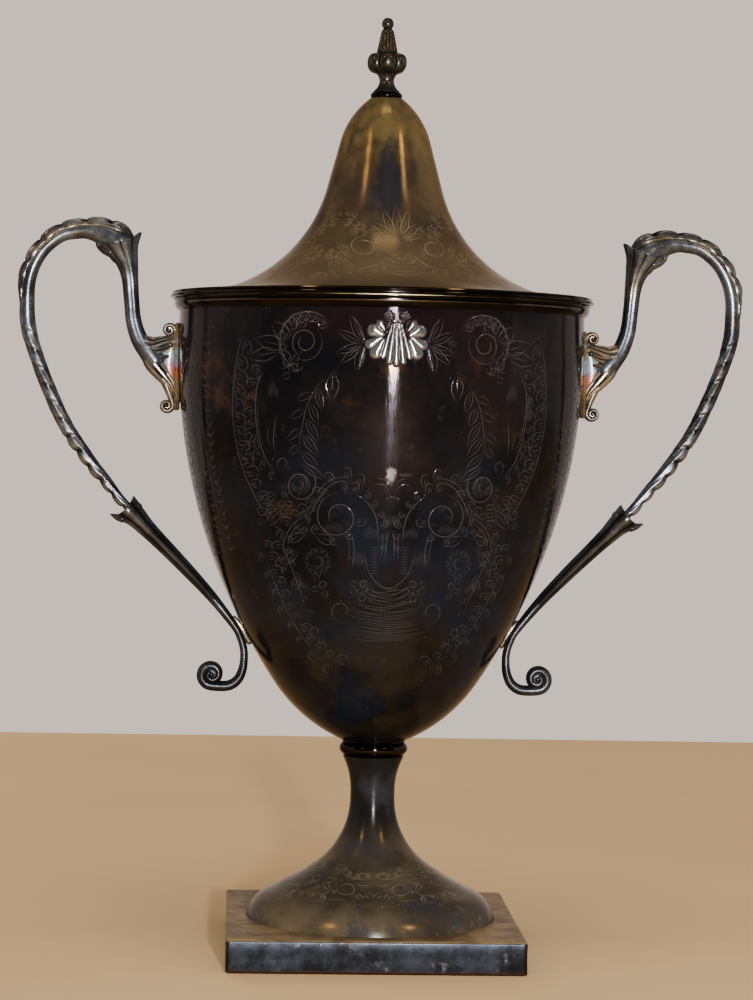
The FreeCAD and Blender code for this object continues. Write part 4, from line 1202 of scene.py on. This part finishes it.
class Casting:
    """A cast piece put together from overlapping limbs and balls, drawn for the right side."""

    # Marks on the points. The first and the last are partly wear and partly painted highlight.
    MARKS = ("worn", "hollow", "scorch", "tone", "gilt")
    # How a limb ends, as (share of its section, distance ahead): round, where the distance is a share of its
    # thickness, or in a hollow mouth, where it is in millimetres.
    ROUND_END = [(math.sin(math.radians(turn)), math.cos(math.radians(turn)) * 0.42) for turn in (12, 38, 64)]
    MOUTH = [(0.95, 0.35), (0.84, 0.1), (0.72, -1.2), (0.4, -2.4), (0.1, -2.7)]

    def __init__(self):
        self.points, self.faces = [], []
        self.marks = {label: [] for label in self.MARKS}
        self.count = 0

    def add(self, points, faces, **marks):
        """Append a closed shell."""
        self.points.append(points)
        self.faces += [tuple(index + self.count for index in face) for face in faces]
        for label in self.MARKS:
            self.marks[label].append(np.broadcast_to(marks.get(label, 0.0), len(points)).astype(float))
        self.count += len(points)

    def limb(self, stations, count, around=28, relief=None, scorch=0.0, tones=None, cup=False, gilt=0.0):
        """A bent bar of oval section through stations (out, up, thickness, breadth).

        relief(s, turn) is the height of the modelling at a distance along the bar and an angle round it. The
        angle is 0 on the left of the path and a quarter turn at the back. cup=True ends the bar in a hollow
        mouth whose lip dips at the front and back. The last argument is how much gold is painted, partly
        brass showing and partly painted highlight, as a number or by the angle.
        """
        path = smooth_path(stations, count)
        tangent = np.gradient(path[:, :2], axis=0)
        tangent /= np.linalg.norm(tangent, axis=1)[:, None]
        s = distances(path)
        rings = [(0, share, -back * path[0, 2]) for share, back in self.ROUND_END]
        rings += [(k, 1.0, 0.0) for k in range(count)]
        if cup:
            rings += [(count - 1, share, ahead) for share, ahead in self.MOUTH]
        else:
            rings += [(count - 1, share, back * path[-1, 2]) for share, back in self.ROUND_END[::-1]]
        turn = np.arange(around) * FULL_TURN / around
        points, heights = [], []
        for k, share, ahead in rings:
            centre = path[k, :2] + tangent[k] * ahead
            left = np.array([-tangent[k, 1], tangent[k, 0]])
            half, deep = path[k, 2] / 2 * share, path[k, 3] / 2 * share
            lift = relief(np.full(around, s[k]), turn) * share if relief else np.zeros(around)
            push = np.stack([np.cos(turn) / max(half, 0.1), np.sin(turn) / max(deep, 0.1)])
            push /= np.linalg.norm(push, axis=0)
            beside = np.cos(turn) * half + push[0] * lift
            behind = np.sin(turn) * deep + push[1] * lift
            dip = 0.0
            if cup:
                near_lip = np.clip(1 - (s[-1] - s[k]) / path[-1, 2], 0, 1)
                dip = -path[-1, 2] * 0.11 * np.sin(turn) ** 2 * near_lip
            points.append(np.stack([centre[0] + left[0] * beside + tangent[k, 0] * dip, behind,
                                    centre[1] + left[1] * beside + tangent[k, 1] * dip], axis=1))
            heights.append(lift)
        points, heights = np.concatenate(points), np.concatenate(heights)
        in_mouth = np.repeat([float(cup and ring >= len(rings) - 3) for ring in range(len(rings))], around)
        # The crests are marked partly for wear and partly for painted highlight.
        self.add(points, capped_faces(len(rings), around), worn=np.clip(heights / 0.45, 0, 1),
                 hollow=np.maximum(np.clip(-heights / 0.25, 0, 1), in_mouth), scorch=scorch,
                 tone=np.interp(points[:, 2], *tones) if tones else 0.0,
                 gilt=np.tile(gilt(turn), len(rings)) if callable(gilt) else gilt)

    def ball(self, out, up, radius, squash, scorch=0.0):
        """A round boss. squash is its depth from front to back as a share of its width."""
        rows, columns = 9, 16
        points = [(out, -radius * squash, up)]
        for polar_turn in (math.pi * i / rows for i in range(1, rows)):
            for turn in (FULL_TURN * j / columns for j in range(columns)):
                points.append((out + radius * math.sin(polar_turn) * math.cos(turn),
                               -radius * squash * math.cos(polar_turn),
                               up + radius * math.sin(polar_turn) * math.sin(turn)))
        points.append((out, radius * squash, up))
        faces = grid_faces(rows - 1, columns, 1, close_columns=True)
        last = len(points) - 1
        base = last - columns
        faces += [(0, 1 + (j + 1) % columns, 1 + j) for j in range(columns)]
        faces += [(last, base + j, base + (j + 1) % columns) for j in range(columns)]
        # A boss is half marked as a crest: partly wear, partly painted highlight.
        self.add(np.array(points), faces, worn=0.5, scorch=scorch)

    def build(self, name, side, node, metal="cast"):
        """Make the piece for one side of the cup, in place of that side's CAD node."""
        points = np.concatenate(self.points)
        faces = self.faces
        if SIDES[side] < 0:
            points = points * np.array([-1, 1, 1])
        else:
            faces = [face[::-1] for face in faces]
        marks = {label: np.concatenate(values) for label, values in self.marks.items()}
        thing = make_object(f"{side}_{name}", points, faces, "cup", [f"{side}_{node}"], METAL[metal], marks)
        bpy.context.view_layer.update()
        build_mesh = bmesh.new()
        build_mesh.from_mesh(thing.data)
        bmesh.ops.recalc_face_normals(build_mesh, faces=build_mesh.faces)
        build_mesh.to_mesh(thing.data)
        build_mesh.free()
        thing.data.set_sharp_from_angle(angle=math.radians(50))


def saw(value):
    """Rises evenly from 0 to 1 and falls back at each whole number, a little rounded."""
    part = value % 1.0
    peak = 0.86
    return np.where(part < peak, part / peak, (1 - part) / 0.14)


def window(value, low, high, soft):
    """1 between two values, fading to 0 outside them."""
    return np.clip((value - low) / soft + 0.5, 0, 1) * np.clip((high - value) / soft + 0.5, 0, 1)


# The handle's limbs on the right side, as (out, up, thickness, breadth).
ARM = [(77.4, 200.6, 7.4, 8.4), (80.2, 204.2, 6.6, 8.0), (82.9, 208, 5.7, 7.2), (85, 214, 5.2, 6.6),
       (85.9, 221.4, 5.0, 6.2), (86.6, 229.2, 5.6, 6.8), (87.7, 234.6, 7.6, 8.6), (89.3, 239, 11.4, 11.6),
       (90.3, 242.1, 15.4, 14.6)]
ARCH = [(89.4, 237.4, 9.0, 9.4), (91.2, 240.6, 9.4, 10.2), (93.9, 242.6, 8.2, 8.8), (97.4, 244.0, 6.9, 7.4),
        (101, 244.8, 6.0, 6.6), (104.6, 244.5, 5.3, 6.0), (110.2, 243, 4.8, 5.6), (115.8, 238.4, 4.6, 5.4),
        (119.3, 232.6, 4.6, 5.4), (121, 226.5, 4.8, 5.4), (121.4, 220, 5.2, 5.4), (121, 212.5, 5.4, 5.4),
        (118.8, 204.2, 4.9, 5.2), (114.3, 192.3, 4.9, 5.2), (108.4, 179.6, 4.9, 5.0),
        (103.2, 171.8, 4.5, 4.8), (98.4, 165.2, 4.3, 4.6), (94, 160, 3.8, 4.2), (89.7, 154.7, 3.2, 3.8),
        (86.4, 151, 3.0, 3.6)]
CREST = [(86.6, 243.2, 2.0, 4.4), (88.8, 244.9, 3.4, 6.6), (92.2, 246.3, 4.0, 7.2), (96, 247.2, 3.7, 6.8),
         (100, 247.4, 3.3, 6.0), (104.5, 246.9, 3.2, 6.0), (109.4, 245.8, 3.2, 6.0), (113.8, 243.2, 3.2, 6.0),
         (117.6, 239.4, 3.2, 5.8), (120.8, 234.6, 3.0, 5.6), (122.9, 229.2, 2.6, 5.2),
         (123.5, 224.4, 1.8, 4.4), (123.4, 219.6, 0.8, 3.4)]
TAIL = [(50.4, 89.8, 3.6, 5.4), (47.3, 91.8, 3.4, 5.2), (45.7, 95.2, 3.1, 5.0), (45.2, 99.0, 2.8, 4.8),
        (45.4, 102.6, 2.7, 4.6), (46.5, 106.2, 2.6, 4.6), (48.6, 110.3, 2.8, 4.8), (56.4, 120, 3.7, 5.2),
        (65.7, 129.9, 4.7, 5.8), (75, 139.2, 5.5, 6.4), (79.9, 144, 6.4, 7.0), (83.0, 147.2, 7.6, 8.0),
        (85.3, 149.2, 9.0, 8.8), (87.0, 150.7, 9.8, 9.0)]
TAIL_LENGTH = 120
SIDE_LEAVES = [
    [(82.5, 207.6, 5, 7), (78.6, 206.6, 4.6, 7), (75.2, 207.6, 3.4, 6.2), (71.6, 208.6, 1.8, 5)],
    [(81.5, 205.6, 4.6, 7.6), (78, 204.6, 3.8, 7.4), (75.2, 204.9, 3, 6.6), (72.6, 206, 1.6, 5)],
    [(81, 204, 4.4, 7.6), (78, 202.2, 3.6, 7.2), (75.4, 201.9, 2.6, 6.2), (73, 202.6, 1.1, 4.6)],
]
LOW_LEAF = [(79.6, 203, 6, 7.8), (77.4, 199.6, 6, 7.4), (74.4, 196, 5, 6.8), (72, 193, 3.4, 5.6),
            (70.9, 190.6, 1.8, 4.4)]
LOW_SCROLL = [(75.5, 198, 4, 5.4), (73.9, 193.4, 3, 5), (72.4, 189.6, 2.3, 5)]
HIGH_SCROLL = [(70.9, 207.2, 2.2, 4.6), (70.6, 209.6, 2.0, 4.8)]
WEB = [(71, 209.5, 2.2, 3.4), (72.4, 205, 5, 3.6), (73.2, 200, 6, 3.6), (72.2, 195, 4.6, 3.6),
       (71, 190.5, 2.2, 3.4)]
CALYX_LEAF = [(93.0, 237.4, 3.6, 9.2), (95.2, 238.6, 3.2, 8.4), (96.8, 239.8, 2.6, 7.2),
              (97.6, 241.0, 1.8, 5.6)]
TAIL_LEAF = [(87.6, 146.4, 2.6, 6.4), (89.6, 147.1, 2.2, 5.4), (91.6, 147.9, 0.7, 3.2)]
PAD = [(69.9, 184.7, 1.8, 6.4), (69.9, 189, 2.2, 7.6), (69.9, 199, 2.2, 7.8), (69.9, 209, 2.2, 7.6),
       (69.9, 213.4, 1.8, 6.4)]
SOLDER = [(43.4, 104.8, 2.0, 1.8), (45.2, 108, 2.7, 2.2), (47.3, 111.2, 2.4, 2.2), (48.9, 113.4, 1.2, 1.6)]
LOW_EYE, HIGH_EYE, TAIL_EYE = (73.3, 185.6), (72.8, 211.4), (56.2, 93.7)
# How far along the heat toning each height on the bracket is.
TONES = ([184, 190, 193, 196, 198, 199.4, 200.6, 203.5, 206, 214],
         [0.04, 0.12, 0.24, 0.36, 0.46, 0.6, 0.72, 0.8, 0.94, 1.0])
# How much gold is painted on the bracket's leaves and scrolls: partly brass showing, partly painted
# highlight.
BRACKET_GILT_AND_HIGHLIGHT = 0.75


def volute(eye, radii, turns, first, thickness, breadth):
    """Stations of a scroll round its eye, by first and last values. Angles are in turns from outward."""
    count = max(6, int(abs(turns) * 9))
    winding = []
    for t in (k / count for k in range(count + 1)):
        radius, thick, broad = (start + (end - start) * t for start, end in (radii, thickness, breadth))
        winding.append((*polar(*eye, radius, FULL_TURN * (first + turns * t)), thick, broad))
    return winding


def lobe(value):
    """Rounded lobes between sharp notches, one for each whole number, fullest past their middle."""
    return np.sin(math.pi * (value % 1.0) ** 1.25) ** 0.55


def arm_relief(s, turn):
    """Lengthwise reeds that deepen into the flutes of the calyx."""
    deep = np.clip((s - 30) / 12, 0, 1)
    fine = 0.16 * np.cos(6 * turn) * window(s, 6, 34, 8)
    return fine + deep * (0.55 * np.abs(np.cos(5 * turn)) - 0.3)


def arch_relief(s, turn):
    """Leaves wrapped slantwise round the outside of the arch, with a scalloped edge towards its foot."""
    slant = s / 6.4 + turn / math.pi
    front = np.abs(np.sin(turn))
    husk = (saw(slant) - 0.5) * 0.4 * window(s, 58, 108, 9) * (0.15 + 0.85 * front)
    vein = 0.08 * np.cos(9 * turn + s * 0.5) * window(s, 58, 134, 6)
    outside = np.clip(np.cos(turn) * 1.3, 0, 1)
    scallops = (lobe((s - 1.2) / 6.1) - 0.5) * window(s, 98, 134, 5) * outside
    return husk + vein + scallops


def crest_relief(s, turn):
    """Acanthus lobes along the outer edge, with ribs running to their tips."""
    outside = np.clip(np.cos(turn) * 1.3 + 0.1, 0, 1)
    lobes = (lobe(s / 8.4 + 0.1) - 0.6) * 1.1 * window(s, 1, 47, 5)
    ribs = 0.16 * np.cos(9 * turn) + 0.1 * np.cos(5 * turn + s * 0.75)
    return lobes * outside + ribs


def tail_relief(s, turn):
    """A keel down the middle of the front and back between two flutes."""
    side = np.abs(np.cos(turn))
    keel = 0.6 * np.exp(-(side / 0.2) ** 2) - 0.32 * np.exp(-((side - 0.52) / 0.2) ** 2)
    return keel * window(s, TAIL_LENGTH - 56, TAIL_LENGTH + 20, 7)


def leaf_relief(ribs, height):
    """Ribs along a leaf, as a relief for a limb."""
    return lambda s, turn: height * np.cos(ribs * turn) * np.clip(s / 2.5, 0, 1)


def pad_relief(s, turn):
    """Low ridges on the backing plate."""
    return 0.13 * np.cos(8 * turn) + 0.07 * np.cos(2.1 * s)


def gilt_inside(turn):
    """Gold painted along the inner side of a limb, partly brass showing through and partly painted highlight.
    """
    return np.clip(-np.cos(turn) + 0.25, 0, 1)


def handle(side):
    """One handle: bracket, arch, crest, tail, and the plate and solder that hold it to the bowl."""
    bracket = Casting()
    bracket.limb(ARM, 66, 60, arm_relief, cup=True)
    for side_leaf in SIDE_LEAVES:
        bracket.limb(side_leaf, 20, 30, leaf_relief(7, 0.3), gilt=BRACKET_GILT_AND_HIGHLIGHT)
    bracket.limb(LOW_LEAF, 30, 34, leaf_relief(8, 0.42), gilt=BRACKET_GILT_AND_HIGHLIGHT)
    low_winding = volute(LOW_EYE, (2.1, 0.7), 1.35, 0.47, (2.0, 1.2), (5.2, 6.2))
    high_winding = volute(HIGH_EYE, (2.0, 0.7), -1.3, 0.5, (1.9, 1.2), (5.2, 6.2))
    bracket.limb(LOW_SCROLL + low_winding, 50, 22, gilt=BRACKET_GILT_AND_HIGHLIGHT)
    bracket.limb(HIGH_SCROLL + high_winding, 44, 22, gilt=BRACKET_GILT_AND_HIGHLIGHT)
    bracket.limb(WEB, 26, 24, scorch=0.9, tones=TONES)
    bracket.ball(72.4, 206.4, 1.35, 2.2, 0.3)
    for eye in (LOW_EYE, HIGH_EYE):
        bracket.ball(*eye, 0.95, 3.6)
    bracket.limb(CALYX_LEAF, 20, 28, leaf_relief(6, 0.2))
    bracket.build("bracket_cast", side, "handle_bracket")

    arch = Casting()
    arch.limb(ARCH, 260, 36, arch_relief)
    arch.build("arch_cast", side, "handle_arch")

    crest = Casting()
    crest.limb(CREST, 120, 40, crest_relief, gilt=gilt_inside)
    crest.build("crest_cast", side, "handle_crest")

    tail = Casting()
    winding = volute(TAIL_EYE, (4.1, 1.1), 1.4, 0.72, (3.7, 2.1), (5.4, 6.8))
    tail.limb(winding[::-1] + TAIL, 200, 36, tail_relief, cup=True)
    tail.limb(TAIL_LEAF, 14, 20)
    tail.ball(82.6, 150.6, 1.7, 1.7)
    tail.ball(*TAIL_EYE, 3.9, 0.66)
    tail.ball(*TAIL_EYE, 1.3, 2.75)
    tail.build("tail_cast", side, "handle_tail")

    pad = Casting()
    pad.limb(PAD, 60, 36, pad_relief, scorch=0.85, tones=TONES)
    pad.build("pad_brazed", side, "handle_pad")

    solder = Casting()
    solder.limb(SOLDER, 20, 20)
    solder.build("tail_solder", side, "tail_pad", "solder")


for handle_side in SIDES:
    handle(handle_side)

FINIAL = [(0.02, 285.5), (1.5, 285.5), (1.5, 294.4), (4.7, 294.4), (4.4, 294.9, 4.6, -1),
          (2.5, 298.2, 3.1, -1), (3.5, 300.6), (5.6, 301.4, 3.5, 1), (7.15, 304.4, 3.3, 1), (5.9, 307.3),
          (3.8, 307.9), (3.5, 308.4), (2.1, 315.3), (1.8, 315.8), (1.4, 316.3, 2.05, 1),
          (2.05, 317.9, 2.05, 1), (0.02, 319.98)]


def finial_lift(angles, out, up):
    """Six swelling lobes with curled tips on the urn, and reeds on the cone above."""
    lobes = np.abs(np.cos(3 * angles)) ** 0.5
    belly = float(window(up, 300.9, 307.7, 0.9))
    tip = max(0.0, 1 - abs(up - 306.4) / 1.3)
    reeds = np.abs(np.cos(7 * angles)) - 0.75
    cone = float(window(up, 308.4, 315.3, 0.6))
    return belly * (lobes - 1) * 1.5 + tip * (lobes - 0.75) * 0.9 + cone * reeds * 0.42


def finial():
    """The cast urn finial with the spigot that passes through the lid."""
    outline = trace(FINIAL, 0.22)[::-1]
    columns = 168
    shaped("finial_cast", revolve(outline, columns, finial_lift), capped_faces(len(outline), columns), "lid",
           ["finial"], "cast", 60)


finial()


# ---------------------------------------------------------------- nodes that stay as they are

for node_name in ("tie_stud", "tie_washer", "tie_nut", "lid_bezel", "finial_washer", "finial_nut"):
    node_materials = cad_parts[node_name].data.materials
    node_materials.clear()
    node_materials.append(METAL["inner"])


# ---------------------------------------------------------------- floor, light and camera

def build_floor():
    """A plain pale table top that ends a little way behind the cup."""
    xs = np.linspace(-1500, 1500, 31)
    ys = np.linspace(-2600, 640, 31)
    points = np.array([(x, y, -0.05) for y in ys for x in xs])
    make_object("floor", points, grid_faces(len(ys), len(xs)), None, material=floor_paint())


def build_world():
    """Pale walls all round that darken towards the ceiling."""
    world = bpy.data.worlds.new("studio")
    world.use_nodes = True
    nodes, links = world.node_tree.nodes, world.node_tree.links
    direction = nodes.new("ShaderNodeTexCoord")
    split = nodes.new("ShaderNodeSeparateXYZ")
    links.new(direction.outputs["Generated"], split.inputs["Vector"])
    ceiling = nodes.new("ShaderNodeMapRange")
    ceiling.interpolation_type = "SMOOTHSTEP"
    links.new(split.outputs["Z"], ceiling.inputs["Value"])
    for key, number in (("From Min", 0.3), ("From Max", 0.75), ("To Min", 0.97), ("To Max", 0.25)):
        ceiling.inputs[key].default_value = number
    background = nodes["Background"]
    background.inputs["Color"].default_value = (0.97, 0.82, 0.73, 1)
    links.new(ceiling.outputs["Result"], background.inputs["Strength"])
    bpy.context.scene.world = world


def area_light(name, place, target, size, power, colour=(1, 1, 1)):
    """A rectangular soft light that faces a point. Places are in metres."""
    data = bpy.data.lights.new(name, "AREA")
    data.shape = "RECTANGLE"
    data.size, data.size_y = size
    data.energy = power
    data.color = colour
    lamp = bpy.data.objects.new(name, data)
    lamp.location = place
    lamp.rotation_mode = "QUATERNION"
    lamp.rotation_quaternion = (Vector(target) - Vector(place)).to_track_quat("-Z", "Y")
    bpy.context.scene.collection.objects.link(lamp)
    return lamp


def build_lamps():
    """Soft lamps above and behind, a flash, a ceiling lamp, and two warm ones for reflections only."""
    middle = (0, 0, 0.15)
    overhead = area_light("overhead", (0.1, -0.5, 1.5), middle, (1.2, 0.8), 10.4, (1, 0.97, 0.92))
    overhead.visible_glossy = False
    behind = area_light("behind", (-0.5, 1.3, 0.8), middle, (0.9, 0.7), 8, (1, 0.95, 0.88))
    behind.visible_glossy = False
    behind.visible_camera = False
    area_light("flash", (0.06, -1.02, 0.19), (0, 0, 0.19), (0.024, 0.05), 17)
    area_light("ceiling_lamp", (0.02, -0.2, 1.9), middle, (0.55, 0.3), 3.2, (1, 0.8, 0.5))
    distance, height = 1.25, 1.05
    for name, bearing in (("lamp_left", -46), ("lamp_right", 40)):
        turn = math.radians(bearing)
        place = (distance * math.sin(turn), -distance * math.cos(turn), height)
        warm_lamp = area_light(name, place, (0, 0, 0.2), (0.16, 0.2), 3.8, (1, 0.62, 0.25))
        warm_lamp.visible_diffuse = False


def dark_card(name, centre, size, turn, material):
    """A dark cloth out of sight of the camera, which the polished metal reflects."""
    half_wide, half_high = size[0] / 2, size[1] / 2
    points = np.array([(-half_wide, 0, -half_high), (half_wide, 0, -half_high), (half_wide, 0, half_high),
                       (-half_wide, 0, half_high)])
    spun = np.array(Matrix.Rotation(math.radians(turn), 3, "Z"))
    card = make_object(name, points @ spun.T + np.array(centre), [(0, 1, 2, 3)], None, material=material)
    card.visible_camera = False
    card.visible_shadow = False
    card.visible_diffuse = False


def build_camera():
    """A long lens at the height of the cup's shoulders, a little to the left of square on."""
    distance, height = 0.964, 0.182
    azimuth, swing, pitch, roll = (math.radians(value) for value in (-3.0, 0.037, -1.63, 1.15))
    data = bpy.data.cameras.new("camera")
    data.sensor_width = 36
    data.lens = 100.8
    data.clip_start, data.clip_end = 0.05, 20
    camera = bpy.data.objects.new("camera", data)
    heading = azimuth + swing
    forward = Vector((-math.sin(heading) * math.cos(pitch), math.cos(heading) * math.cos(pitch),
                      math.sin(pitch)))
    right = Vector((math.cos(heading), math.sin(heading), 0))
    up = right.cross(forward)
    leaning_right = right * math.cos(roll) + up * math.sin(roll)
    leaning_up = up * math.cos(roll) - right * math.sin(roll)
    turned_frame = Matrix((leaning_right, leaning_up, -forward)).transposed().to_4x4()
    place = Vector((math.sin(azimuth) * distance, -math.cos(azimuth) * distance, height))
    camera.matrix_world = Matrix.Translation(place) @ turned_frame
    bpy.context.scene.collection.objects.link(camera)
    bpy.context.scene.camera = camera


build_floor()
build_world()
cloth = dark_cloth()
dark_card("dark_front", (0, -1900, 500), (2600, 2400), 0, cloth)
dark_card("dark_left", (-1500, -1300, 500), (1600, 2400), -60, cloth)
dark_card("dark_right", (1500, -1300, 500), (1600, 2400), 60, cloth)
build_lamps()
build_camera()
